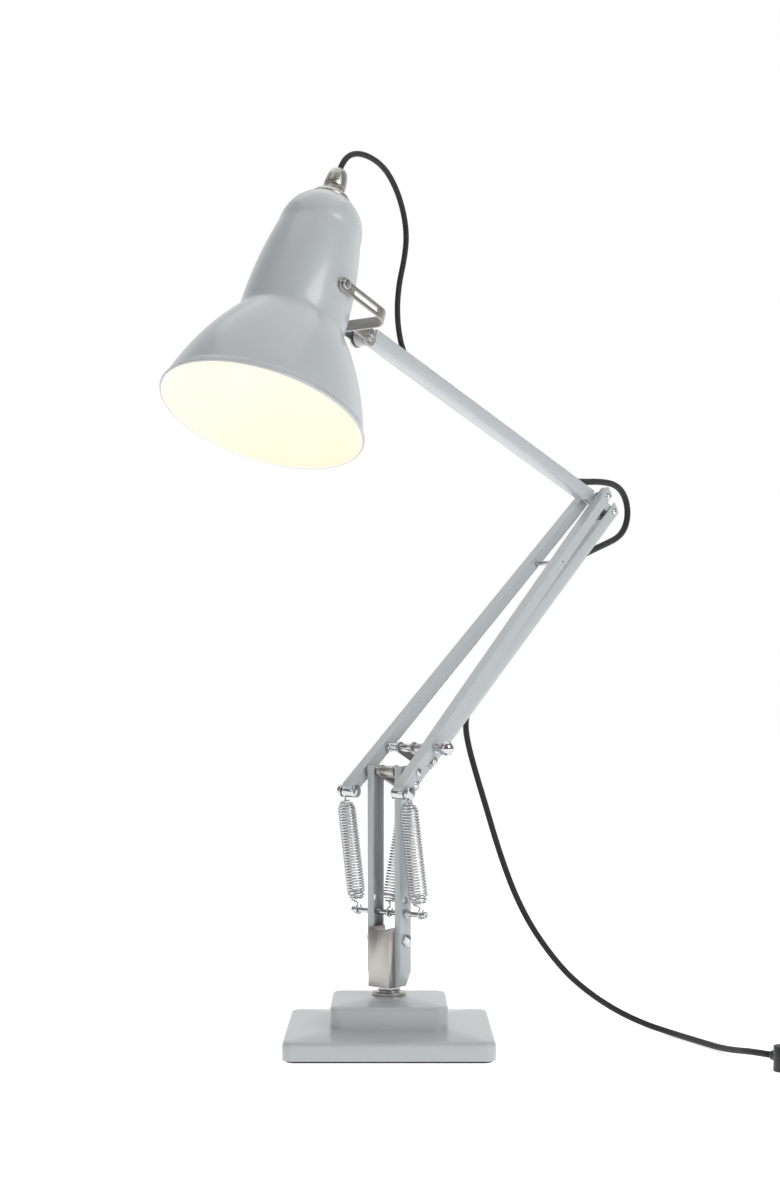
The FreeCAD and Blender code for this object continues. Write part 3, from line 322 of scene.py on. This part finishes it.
# The spare flex lies in a flat tied bundle by the switch: four turns inwards on the floor, then four turns
# outwards on top of them, a diameter apart, with the plug beside it.
COIL_TURNS, TURN_STEPS = 4, 14
coil_low, coil_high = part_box("lead_coil")
coil_middle = (coil_low + coil_high) / 2
OUTER_TURN = (coil_high.x - coil_low.x) / 2 / MM - MAINS_LEAD / 2 - 0.1
way_in = [Vector(p) * MM for p in (
    (313.5, -141.5, 8.5), (321.5, -150.4, 8.5), (333.6, -155.8, 6.4), (347.4, -158.2, 3.4),
    (361.5, -158.8, 2.6), (375.3, -158.8, 2.6))]
way_out = [Vector(p) * MM for p in (
    (381.3, -158.8, 2.6), (394.7, -158.0, 2.6), (407.9, -154.4, 2.6), (419.7, -147.4, 2.8),
    (429.1, -137.2, 4.0), (435.5, -125.0, 5.8), (438.3, -112.2, 7.2))]
wound, levels = [], (coil_low.z + MAINS_LEAD * MM / 2 + 0.0001, coil_low.z + MAINS_LEAD * 1.5 * MM + 0.0002)
for step in range(1, 2 * COIL_TURNS * TURN_STEPS):
    turn = step / TURN_STEPS
    inwards = turn if turn < COIL_TURNS else 2 * COIL_TURNS - turn
    radius = (OUTER_TURN - MAINS_LEAD * min(inwards, COIL_TURNS - 1)) * MM
    climb = min(max((turn - COIL_TURNS + 0.35) / 0.7, 0.0), 1.0)
    angle = -math.pi / 2 + 2 * math.pi * turn
    wound.append(Vector((coil_middle.x + radius * math.cos(angle), coil_middle.y + radius * math.sin(angle),
                         levels[0] + (levels[1] - levels[0]) * climb)))
spare_route = way_in[:-1] + wound[1:-1] + way_out[1:]

# A hook-and-loop tie, one flat band round the bundle and both its ends.
tie_low, tie_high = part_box("coil_tie")
tie_band = bmesh.new()
TIE_BEND, TIE_THICK, TIE_STEPS = 2.6, 1.1, 6
tie_rings = []
for inset in (0.0, TIE_THICK):
    loop = []
    for quarter in range(4):
        for step in range(TIE_STEPS + 1):
            angle = math.pi / 2 * (quarter + step / TIE_STEPS)
            centre = math.pi / 2 * quarter + math.pi / 4
            bend = max(TIE_BEND - inset, 0.6)
            half_y = (tie_high.y - tie_low.y) / 2 / MM - inset - bend
            half_z = (tie_high.z - tie_low.z) / 2 / MM - inset - bend
            loop.append((math.copysign(half_y, math.cos(centre)) + bend * math.cos(angle),
                         math.copysign(half_z, math.sin(centre)) + bend * math.sin(angle)))
    tie_rings.append(loop)
tie_middle = (tie_low + tie_high) / 2
corners = [[tie_band.verts.new((x, tie_middle.y + y * MM, tie_middle.z + z * MM)) for y, z in loop]
           for x, loop in ((tie_low.x, tie_rings[0]), (tie_high.x, tie_rings[0]),
                           (tie_high.x, tie_rings[1]), (tie_low.x, tie_rings[1]))]
for low, high in zip(corners, corners[1:] + corners[:1]):
    for k in range(len(low)):
        j = (k + 1) % len(low)
        tie_band.faces.new((low[k], low[j], high[j], high[k]))
bmesh.ops.recalc_face_normals(tie_band, faces=tie_band.faces)
tie_data = bpy.data.meshes.new("lead_tie")
tie_band.to_mesh(tie_data)
tie_band.free()
tie_data.materials.append(abs_black)
lead_tie = bpy.data.objects.new("lead_tie", tie_data)
bpy.context.scene.collection.objects.link(lead_tie)
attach(lead_tie, "base")
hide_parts("coil_tie")
lay_lead(
    "spare_flex", spare_route, MAINS_LEAD, ("base",),
    ("lead_coil", "mains_lead_coil_end", "mains_lead_plug_end"))


# ---------------------------------------------------------------- paint
# Polyester powder coat, light grey with a touch of blue, oven-cured on steel: satin gloss, and a very
# fine orange-peel ripple about 1.2 mm across where the powder has flowed.
GREY = "#b6bbbe"
PEEL_SIZE = 1.2 * MM


def painted(name, colour):
    material, tree, shader = finish_of(name)
    place = add(tree, "ShaderNodeTexCoord").outputs["Object"]
    cloud = add(tree, "ShaderNodeTexNoise", Vector=place, Scale=14.0, Detail=2.0).outputs["Fac"]
    tint = add(tree, "ShaderNodeMix", {"data_type": "RGBA"}, Factor=cloud)
    shade_low = [c * 0.965 for c in srgb(colour)[:3]] + [1.0]
    tint.inputs["A"].default_value, tint.inputs["B"].default_value = shade_low, srgb(colour)
    tree.links.new(tint.outputs["Result"], shader.inputs["Base Color"])
    peel = add(tree, "ShaderNodeTexNoise", Vector=place, Scale=1 / PEEL_SIZE, Detail=1.0).outputs["Fac"]
    sheen = add(tree, "ShaderNodeMapRange", Value=peel, To_Min=0.28, To_Max=0.33).outputs[0]
    tree.links.new(sheen, shader.inputs["Roughness"])
    shader.inputs["Coat Weight"].default_value = 0.35
    shader.inputs["Coat Roughness"].default_value = 0.12
    bump = add(tree, "ShaderNodeBump", Height=peel, Strength=0.4, Distance=0.00002)
    tree.links.new(bump.outputs["Normal"], shader.inputs["Normal"])
    return material


powder_coat = painted("satin_powder_coat_grey", GREY)


# ---------------------------------------------------------------- metals, mouldings, felt
# Bright nickel on pressings and turned fittings, with a faint brushed grain; chrome on pins, knob and
# springs. Black ABS for the switch, plug and lampholder. A black rubber pad under the base.
def plated(name, colour, rough_low, rough_high, grain, grain_size):
    material, tree, shader = finish_of(name)
    place = add(tree, "ShaderNodeTexCoord").outputs["Object"]
    stretched = add(tree, "ShaderNodeMapping", Vector=place, Scale=(1.0, 1.0, 0.12)).outputs[0]
    lines = add(tree, "ShaderNodeTexNoise", Vector=stretched, Scale=1 / grain_size, Detail=3.0).outputs["Fac"]
    rough = add(tree, "ShaderNodeMapRange", Value=lines, To_Min=rough_low, To_Max=rough_high).outputs[0]
    tree.links.new(rough, shader.inputs["Roughness"])
    bump = add(tree, "ShaderNodeBump", Height=lines, Strength=grain, Distance=0.0001)
    tree.links.new(bump.outputs["Normal"], shader.inputs["Normal"])
    shader.inputs["Base Color"].default_value = srgb(colour)
    shader.inputs["Metallic"].default_value = 1.0
    return material


nickel = plated("brushed_nickel_plate", "#b5b2ad", 0.24, 0.4, 0.25, 0.6 * MM)
chrome = plated("polished_chrome_plate", "#c9cacc", 0.06, 0.14, 0.06, 1.5 * MM)
spring_steel = plated("bright_spring_wire", "#cfd0d2", 0.12, 0.24, 0.15, 0.8 * MM)
pad_rubber = moulded("cut_black_rubber_pad", "#121213", 0.8, 0.7 * MM, 0.0002)
cast_iron = moulded("rough_cast_iron", "#3a3a3b", 0.75, 2.0 * MM, 0.0004)


# ---------------------------------------------------------------- base
# A stepped square base in painted pressed steel. Both steps have well rounded edges and corners and
# tops that slope gently up to the middle, with a cast weight and a thin rubber pad beneath.
CORNER_STEPS, EDGE_STEPS = 10, 6


def ring_of(half, corner, z):
    """A square ring with round corners, anticlockwise."""
    points = []
    for quarter in range(4):
        for step in range(CORNER_STEPS + 1):
            angle = math.pi / 2 * (quarter + step / CORNER_STEPS)
            centre = math.pi / 2 * quarter + math.pi / 4
            cx = math.copysign(half - corner, math.cos(centre))
            cy = math.copysign(half - corner, math.sin(centre))
            points.append(Vector((cx + corner * math.cos(angle), cy + corner * math.sin(angle), z)) * MM)
    return points


def eased(profile, radii):
    """The profile (half side, height) with each inner corner rounded by its own radius."""
    soft = [profile[0]]
    for before, corner, after, radius in zip(profile, profile[1:], profile[2:], radii):
        a, b, c = Vector(before), Vector(corner), Vector(after)
        into, out = (b - a).normalized(), (c - b).normalized()
        reach = radius * math.tan(into.angle(out) / 2)
        start, end = b - into * reach, b + out * reach
        for step in range(EDGE_STEPS + 1):
            t = step / EDGE_STEPS
            point = start * (1 - t) ** 2 + b * 2 * t * (1 - t) + end * t ** 2
            soft.append(tuple(point))
    return soft + [profile[-1]]


base_low, base_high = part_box("base_cover")
half_side, foot, crown = base_high.x / MM, base_low.z / MM, base_high.z / MM
base_profile = eased(
    [(half_side - 2.0, foot), (half_side, foot), (half_side, 14.6),
     (42.6, 18.0), (42.5, 33.8), (13.0, crown)],
    [0.6, 3.4, 1.6, 3.2])
base_mesh = bmesh.new()
base_rings = []
for half, z in base_profile:
    corner = 8.0 + (3.0 if half < 60 and z < 30 else 0.0) if half > 41 else 8.0 * half / 42.5
    base_rings.append([base_mesh.verts.new(p) for p in ring_of(half, min(corner, half * 0.6), z)])
for low, high in zip(base_rings, base_rings[1:]):
    for k in range(len(low)):
        j = (k + 1) % len(low)
        base_mesh.faces.new((low[k], low[j], high[j], high[k])).smooth = True
base_mesh.faces.new(base_rings[0][::-1])
base_mesh.faces.new(base_rings[-1])
base_data = bpy.data.meshes.new("base_shell")
base_mesh.to_mesh(base_data)
base_mesh.free()
base_data.materials.append(powder_coat)
base_shell = bpy.data.objects.new("base_shell", base_data)
bpy.context.scene.collection.objects.link(base_shell)
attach(base_shell, "base")
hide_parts("base_cover")


# ---------------------------------------------------------------- shade
# Spun aluminium, painted grey outside and warm white inside, with the rim rolled into a bead. The neck
# swells down from a rounded crown to a crease, and the bell opens out below it.
SHADE_SIDES, ARC_STEPS, WALL, BEAD = 128, 18, 1.0, 1.15
RIM, CREASE, CREASE_UP, NECK, NECK_UP = 71.0, 38.0, 70.5, 30.0, 146.0


def arc_through(a, b, c, steps=ARC_STEPS):
    """Points on the circle through three points, from the first to the last."""
    (ax, ay), (bx, by), (cx, cy) = a, b, c
    d = 2 * (ax * (by - cy) + bx * (cy - ay) + cx * (ay - by))
    ux = ((ax**2 + ay**2) * (by - cy) + (bx**2 + by**2) * (cy - ay) + (cx**2 + cy**2) * (ay - by)) / d
    uy = ((ax**2 + ay**2) * (cx - bx) + (bx**2 + by**2) * (ax - cx) + (cx**2 + cy**2) * (bx - ax)) / d
    radius = math.hypot(ax - ux, ay - uy)
    first, last = math.atan2(ay - uy, ax - ux), math.atan2(cy - uy, cx - ux)
    turn = (last - first + math.pi) % (2 * math.pi) - math.pi
    angles = [first + turn * k / steps for k in range(steps + 1)]
    return [(ux + radius * math.cos(angle), uy + radius * math.sin(angle)) for angle in angles]


def shade_wall(inset):
    """The line of the shade's wall from crown to rim, moved in by a wall."""
    line = [(6.2, 174.0 - inset)]
    line += arc_through((15.6 - inset * 0.4, 174.0 - inset), (26.2 - inset, 162.4 - inset * 0.6),
                        (NECK - inset, NECK_UP))
    line += arc_through((NECK - inset, NECK_UP), (35.6 - inset, 112.0),
                        (CREASE - 0.4 - inset, CREASE_UP + 3.0))[1:]
    line += [(CREASE - 0.1 - inset, CREASE_UP + 1.6), (CREASE + 0.25 - inset, CREASE_UP + 0.4)]
    line += arc_through((CREASE + 0.9 - inset, CREASE_UP - 0.6), (58.6 - inset, 36.5), (RIM - inset, 1.0))
    return line


to_shade = Matrix((side.cross(shade_axis), side, shade_axis)).transposed().to_4x4()
to_shade.translation = rim_centre


def spun(name, rings_of_points, sides, materials, pick=None, closed=True):
    """A turned piece from a closed outline of (radius, height), about the shade's axis."""
    builder = bmesh.new()
    rings_made = [[builder.verts.new(to_shade @ (Vector((r * math.cos(a), r * math.sin(a), z)) * MM))
                   for a in (2 * math.pi * k / sides for k in range(sides))] for r, z in rings_of_points]
    following = rings_made[1:] + (rings_made[:1] if closed else [])
    pairs = list(zip(rings_made, following))
    for index, (low, high) in enumerate(pairs):
        for k in range(sides):
            j = (k + 1) % sides
            face = builder.faces.new((low[k], low[j], high[j], high[k]))
            face.smooth = True
            face.material_index = pick(index) if pick else 0
    bmesh.ops.recalc_face_normals(builder, faces=builder.faces)
    data = bpy.data.meshes.new(name)
    builder.to_mesh(data)
    builder.free()
    for material in materials:
        data.materials.append(material)
    piece = bpy.data.objects.new(name, data)
    bpy.context.scene.collection.objects.link(piece)
    return piece


# Warm-white enamel on the inside of the shade. The lamp is on, so it glows evenly; the glow is set on the
# surface because the bulb itself sits out of sight in the neck.
cream, tree, shader = finish_of("warm_white_enamel_lit")
place = add(tree, "ShaderNodeTexCoord").outputs["Object"]
mottle = add(tree, "ShaderNodeTexNoise", Vector=place, Scale=1 / (30 * MM), Detail=1.0).outputs["Fac"]
warm = add(tree, "ShaderNodeMix", {"data_type": "RGBA"}, Factor=mottle)
warm.inputs["A"].default_value, warm.inputs["B"].default_value = srgb("#f7ecda"), srgb("#faf1e2")
tree.links.new(warm.outputs["Result"], shader.inputs["Base Color"])
shader.inputs["Emission Color"].default_value = srgb("#fff0dc")
shader.inputs["Emission Strength"].default_value = 0.12
shader.inputs["Roughness"].default_value = 0.3

outer, inner = shade_wall(0.0), shade_wall(WALL)
bead = [(RIM + 0.1 + BEAD * math.cos(a), BEAD * math.sin(a))
        for a in (math.radians(80 - 24 * k) for k in range(11))]
outline = outer + bead + inner[::-1]
inside_from = len(outer) + len(bead) - 3
shade = spun("shade_shell", outline, SHADE_SIDES, (powder_coat, cream),
             lambda index: 1 if inside_from <= index < len(outline) - 1 else 0)
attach(shade, "shade")
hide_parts("shade")


# ---------------------------------------------------------------- balance springs
# Three extension springs in bright wire, drawn out until their coils part, each with a tapered end and a
# round hook at both ends. The outer two pull on the lower arm's tail, and the middle one on the crank.
COIL_PITCH = 2.1
WIRE, ROD_UP, COIL_FROM, TAPER, HOOK, HOOK_SHIFT = 1.4, 97.0, 8.0, 5.0, 3.3, 0.3
wind = bpy.data.node_groups.new("wound_spring", "GeometryNodeTree")
for name, kind in (("Coils", "NodeSocketFloat"), ("Radius", "NodeSocketFloat"), ("Length", "NodeSocketFloat"),
                   ("Wire", "NodeSocketFloat"), ("Taper", "NodeSocketFloat"),
                   ("Finish", "NodeSocketMaterial")):
    wind.interface.new_socket(name=name, in_out="INPUT", socket_type=kind)
wind.interface.new_socket(name="Geometry", in_out="OUTPUT", socket_type="NodeSocketGeometry")
given = add(wind, "NodeGroupInput").outputs
narrow = add(wind, "ShaderNodeMath", {"operation": "MULTIPLY"}, _0=given["Radius"], _1=0.62).outputs[0]
section = add(wind, "GeometryNodeCurvePrimitiveCircle", Resolution=7, Radius=given["Wire"]).outputs["Curve"]
lift_top = add(wind, "ShaderNodeMath", {"operation": "ADD"}, _0=given["Taper"], _1=given["Length"]).outputs[0]
turned_parts = []
for rotations, radii, height, lift in (
        (2.5, (narrow, given["Radius"]), given["Taper"], None),
        (given["Coils"], (given["Radius"], given["Radius"]), given["Length"], given["Taper"]),
        (2.5, (given["Radius"], narrow), given["Taper"], lift_top)):
    spiral = add(wind, "GeometryNodeCurveSpiral", Resolution=20, Rotations=rotations, Height=height)
    for socket, radius in zip(("Start Radius", "End Radius"), radii):
        wind.links.new(radius, spiral.inputs[socket])
    line = spiral.outputs["Curve"]
    if lift is not None:
        offset = add(wind, "ShaderNodeCombineXYZ", Z=lift).outputs[0]
        line = add(wind, "GeometryNodeTransform", Geometry=line, Translation=offset).outputs[0]
    turned_parts.append(line)
joined = add(wind, "GeometryNodeJoinGeometry")
for line in turned_parts:
    wind.links.new(line, joined.inputs[0])
swept = add(wind, "GeometryNodeCurveToMesh", Curve=joined.outputs[0])
wind.links.new(section, swept.inputs["Profile Curve"])
swept.inputs["Fill Caps"].default_value = True
real = add(wind, "GeometryNodeRealizeInstances", Geometry=swept.outputs[0])
painted_wire = add(wind, "GeometryNodeSetMaterial", Geometry=real.outputs[0])
wind.links.new(given["Finish"], painted_wire.inputs["Material"])
smooth_wire = add(wind, "GeometryNodeSetShadeSmooth", Geometry=painted_wire.outputs[0])
wind.links.new(smooth_wire.outputs[0], add(wind, "NodeGroupOutput").inputs[0])
inputs_of_wind = {item.name: item.identifier for item in wind.interface.items_tree if item.in_out == "INPUT"}


def made_by(group, name, values):
    """The plain mesh that a geometry tree gives with the named inputs."""
    holder = bpy.data.objects.new(name, bpy.data.meshes.new(name))
    bpy.context.scene.collection.objects.link(holder)
    modifier = holder.modifiers.new("shape", "NODES")
    modifier.node_group = group
    for key, value in values.items():
        modifier[inputs_of_wind[key]] = value
    graph = bpy.context.evaluated_depsgraph_get()
    mesh = bpy.data.meshes.new_from_object(holder.evaluated_get(graph))
    holder.modifiers.remove(modifier)
    holder.data = mesh
    return holder


def hook_route(start_radius, start, centre):
    """The wire of a hook: from the end coil in to the axis, then once round its eye."""
    away = 1 if start > centre else -1
    points = [Vector((start_radius, 0, start)), Vector((start_radius * 0.75, 0.8, start - away * 0.5)),
              Vector((start_radius * 0.3, 0.6, start - away * 1.6)),
              Vector((0, 0, centre + away * (HOOK + 0.5)))]
    for step in range(1, 12):
        angle = math.radians(90 - 30 * step)
        points.append(Vector((HOOK * math.cos(angle), 0.08 * step, centre + away * HOOK * math.sin(angle))))
    return points


def joined_to(main, others):
    """One mesh from several objects' meshes."""
    builder = bmesh.new()
    for item in (main, *others):
        builder.from_mesh(item.data)
    builder.to_mesh(main.data)
    builder.free()
    for item in others:
        bpy.data.objects.remove(item)
    return main


def wound_spring(name, low, high, radius):
    """A spring between two hook centres, as its coil with a hook at each end."""
    span = (high - low).length / MM
    coil_length = span - 2 * COIL_FROM - 2 * TAPER
    coil = made_by(wind, name, {
        "Coils": float(round(coil_length / COIL_PITCH)), "Radius": (radius - WIRE / 2) * MM,
        "Length": coil_length * MM,
        "Wire": WIRE / 2 * MM, "Taper": TAPER * MM, "Finish": spring_steel})
    coil.data.transform(Matrix.Translation((0, 0, COIL_FROM * MM)))
    narrow_radius = (radius - WIRE / 2) * 0.62
    axis_up = (high - low).normalized()
    stand = Matrix((side.cross(axis_up), side, axis_up)).transposed().to_4x4()
    stand.translation = low
    ends = []
    for end, start, centre in (("low", COIL_FROM, HOOK_SHIFT), ("high", span - COIL_FROM, span - HOOK_SHIFT)):
        line = line_of([p * MM for p in hook_route(narrow_radius, start, centre)])
        ends.append(tube_along(f"{name}_{end}", line, WIRE / 2 * MM, spring_steel, sides=8))
    for item in (coil, *ends):
        item.data.transform(stand)
    return coil, ends


SPRING_OUT, TAIL, TAIL_BACK, SPRING_RADIUS = 28.9, -21.5, 1.5, 7.2
crank_pin = (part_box("crank_pin")[0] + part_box("crank_pin")[1]) / 2
for word, out in (("near", SPRING_OUT), ("far", -SPRING_OUT)):
    low, high = in_lamp(0, ROD_UP, out), by_arm(TAIL, TAIL_BACK, out)
    coil, ends = wound_spring(f"balance_spring_{word}", low, high, SPRING_RADIUS)
    spring = joined_to(coil, ends)
    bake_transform(spring)
    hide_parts(f"spring_{word}")
low, high = in_lamp(0, ROD_UP), crank_pin
coil, (low_hook, high_hook) = wound_spring("balance_spring_middle", low, high, SPRING_RADIUS - 0.7)
middle_spring = joined_to(coil, [low_hook])
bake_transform(middle_spring)
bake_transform(high_hook)
for piece in (middle_spring, high_hook):
    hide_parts("spring_centre")


# ---------------------------------------------------------------- arms, brackets, pins and fittings
# Folded steel channels, square tubes, punched plates and turned pins. Each keeps its exact shape and gets
# the small broken edge that folding, punching or turning leaves, so that it catches the light.
# The lower arms are closed rectangular tubes that draw in towards the elbow, with round tails.
TAIL_END, TAIL_ROUND, ARM_END, ARM_LOW, ARM_DEEP, ARM_WIDE = -24.0, 4.5, 363.2, -5.5, 9.0, 8.4
GAP_FOOT, GAP_SLOPE, GAP_LEAST = 18.6, 0.03813, 5.9
tail_steps = [math.pi / 2 * k / 8 for k in range(8)]
stations = [(TAIL_END + TAIL_ROUND * (1 - math.cos(a)), TAIL_ROUND * math.sin(a)) for a in tail_steps]
kink = (GAP_FOOT - GAP_LEAST) / GAP_SLOPE
straight = sorted([TAIL_END + TAIL_ROUND + STATION * k for k in range(26)] + [kink])
stations += [(x, ARM_DEEP / 2) for x in straight if x < ARM_END - 3] + [(ARM_END, ARM_DEEP / 2)]
for word, sign in (("near", 1), ("far", -1)):
    arm = bmesh.new()
    loops = []
    for x, half in stations:
        inner, mid = max(GAP_FOOT - GAP_SLOPE * x, GAP_LEAST), ARM_LOW + ARM_DEEP / 2
        outer = GAP_FOOT - GAP_SLOPE * x + ARM_WIDE
        loops.append([arm.verts.new(by_arm(x, z, sign * y)) for y, z in (
            (inner, mid - half), (outer, mid - half), (outer, mid + half), (inner, mid + half))])
    for low, high in zip(loops, loops[1:]):
        for k in range(4):
            arm.faces.new((low[k], low[(k + 1) % 4], high[(k + 1) % 4], high[k]))
    arm.faces.new(loops[0])
    arm.faces.new(loops[-1])
    bmesh.ops.remove_doubles(arm, verts=arm.verts, dist=1e-6)
    bmesh.ops.recalc_face_normals(arm, faces=arm.faces)
    tube = eased_piece(f"lower_arm_{word}_tube", arm, powder_coat, 0.9)
    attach(tube, "lower_arm")
    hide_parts(f"lower_arm_{word}")

head_way = (hinges["yoke_hinge"] - elbow).normalized()
for node, width, way in (("fork_upright_near", 0.5, up), ("fork_upright_far", 0.5, up),
                         ("link_tube", 0.5, along), ("upper_arm_tube", 0.6, head_way)):
    broken_edge(node, powder_coat, width, way)
for nodes, material, width in (
        (("elbow_bracket", "head_tongue", "link_foot"), powder_coat, 0.4),
        (("fork_shoe", "shade_yoke"), nickel, 0.35),
        (("crank_plates", "friction_plates", "crank_hub", "spindle_bush", "pivot_washers", "elbow_spacers",
          "shaft_spacers", "pivot_screw_washers", "shade_cap", "cord_gland"), nickel, 0.25),
        (("spindle", "fork_screws", "main_pivot_shaft", "spring_rod", "spring_anchors", "friction_bar",
          "tie_bar", "elbow_pin", "crank_pin", "link_bolt", "link_top_pin", "friction_knob",
          "yoke_hinge_screw", "yoke_hinge_nut", "shade_pivot_screws"), chrome, 0.25)):
    for node in nodes:
        broken_edge(node, material, width)
for node, material in (("base_weight", cast_iron), ("base_pad", pad_rubber), ("plug_pins", chrome),
                       ("lampholder", abs_black), ("bulb_cap", nickel)):
    shown = frame["nodes"][node]
    shown.data.materials.clear()
    shown.data.materials.append(material)

# Opal glass lamp, lit warm white: it sits up in the neck, out of the light's glare.
opal, tree, shader = finish_of("opal_lamp_glass_lit")
place = add(tree, "ShaderNodeTexCoord").outputs["Object"]
film = add(tree, "ShaderNodeTexNoise", Vector=place, Scale=1 / (8 * MM)).outputs["Fac"]
haze = add(tree, "ShaderNodeMapRange", Value=film, To_Min=0.3, To_Max=0.45).outputs[0]
tree.links.new(haze, shader.inputs["Roughness"])
shader.inputs["Base Color"].default_value = srgb("#fff6e6")
shader.inputs["Emission Color"].default_value = srgb("#ffe2b0")
shader.inputs["Emission Strength"].default_value = 0.7
bulb = frame["nodes"]["bulb_glass"]
bulb.data.materials.clear()
bulb.data.materials.append(opal)


# ---------------------------------------------------------------- floor and light
# A plain near-white sweep, one large soft light high on the right, a weaker one from the left, a broad one
# overhead, and a white surround.
floor_data = bpy.data.meshes.new("floor")
floor_data.from_pydata([(-6, -4, 0), (6, -4, 0), (6, 8, 0), (-6, 8, 0)], [], [(0, 1, 2, 3)])
floor_paper, tree, shader = finish_of("white_studio_paper")
shader.inputs["Base Color"].default_value = srgb("#ffffff")
shader.inputs["Roughness"].default_value = 0.9
shader.inputs["Emission Color"].default_value = srgb("#ffffff")
shader.inputs["Emission Strength"].default_value = 0.62
floor_data.materials.append(floor_paper)
floor = bpy.data.objects.new("floor", floor_data)
bpy.context.scene.collection.objects.link(floor)
for name, place, turn, size, power in (
        ("key_softbox", (1.5, -1.5, 1.5), (57, 0, 45), 1.3, 25.0),
        ("fill_softbox", (-1.7, -1.3, 1.0), (68, 0, -52), 1.2, 4.0),
        ("top_softbox", (0.0, 0.4, 2.2), (-8, 0, 0), 2.0, 12.0)):
    light = bpy.data.lights.new(name, "AREA")
    light.size, light.energy = size, power
    stand = bpy.data.objects.new(name, light)
    stand.location = place
    stand.rotation_euler = [math.radians(a) for a in turn]
    bpy.context.scene.collection.objects.link(stand)

# The surround is white behind the lamp and falls off towards the camera's side of the room, which is
# what the plated pieces reflect.
world = bpy.data.worlds.new("studio_surround")
world.use_nodes = True
tree = world.node_tree
room = tree.nodes["Background"]
way = add(tree, "ShaderNodeSeparateXYZ", Vector=add(tree, "ShaderNodeTexCoord").outputs["Generated"])
walls = add(tree, "ShaderNodeValToRGB", Fac=way.outputs["Y"])
stops = walls.color_ramp.elements
stops[0].position, stops[0].color = 0.0, (0.2, 0.2, 0.203, 1.0)
stops[1].position, stops[1].color = 0.75, (1.0, 1.0, 1.0, 1.0)
stops.new(0.35).color = (0.45, 0.45, 0.455, 1.0)
tree.links.new(walls.outputs["Color"], room.inputs["Color"])
room.inputs["Strength"].default_value = 0.95
backdrop = add(tree, "ShaderNodeBackground", Color=(1.0, 1.0, 1.0, 1.0), Strength=1.0)
seen = add(tree, "ShaderNodeLightPath").outputs["Is Camera Ray"]
mixed = add(tree, "ShaderNodeMixShader", _0=seen, _1=room.outputs[0], _2=backdrop.outputs[0])
tree.links.new(mixed.outputs[0], tree.nodes["World Output"].inputs["Surface"])
bpy.context.scene.world = world
bpy.context.scene.view_settings.view_transform = "Standard"

bpy.context.view_layer.update()
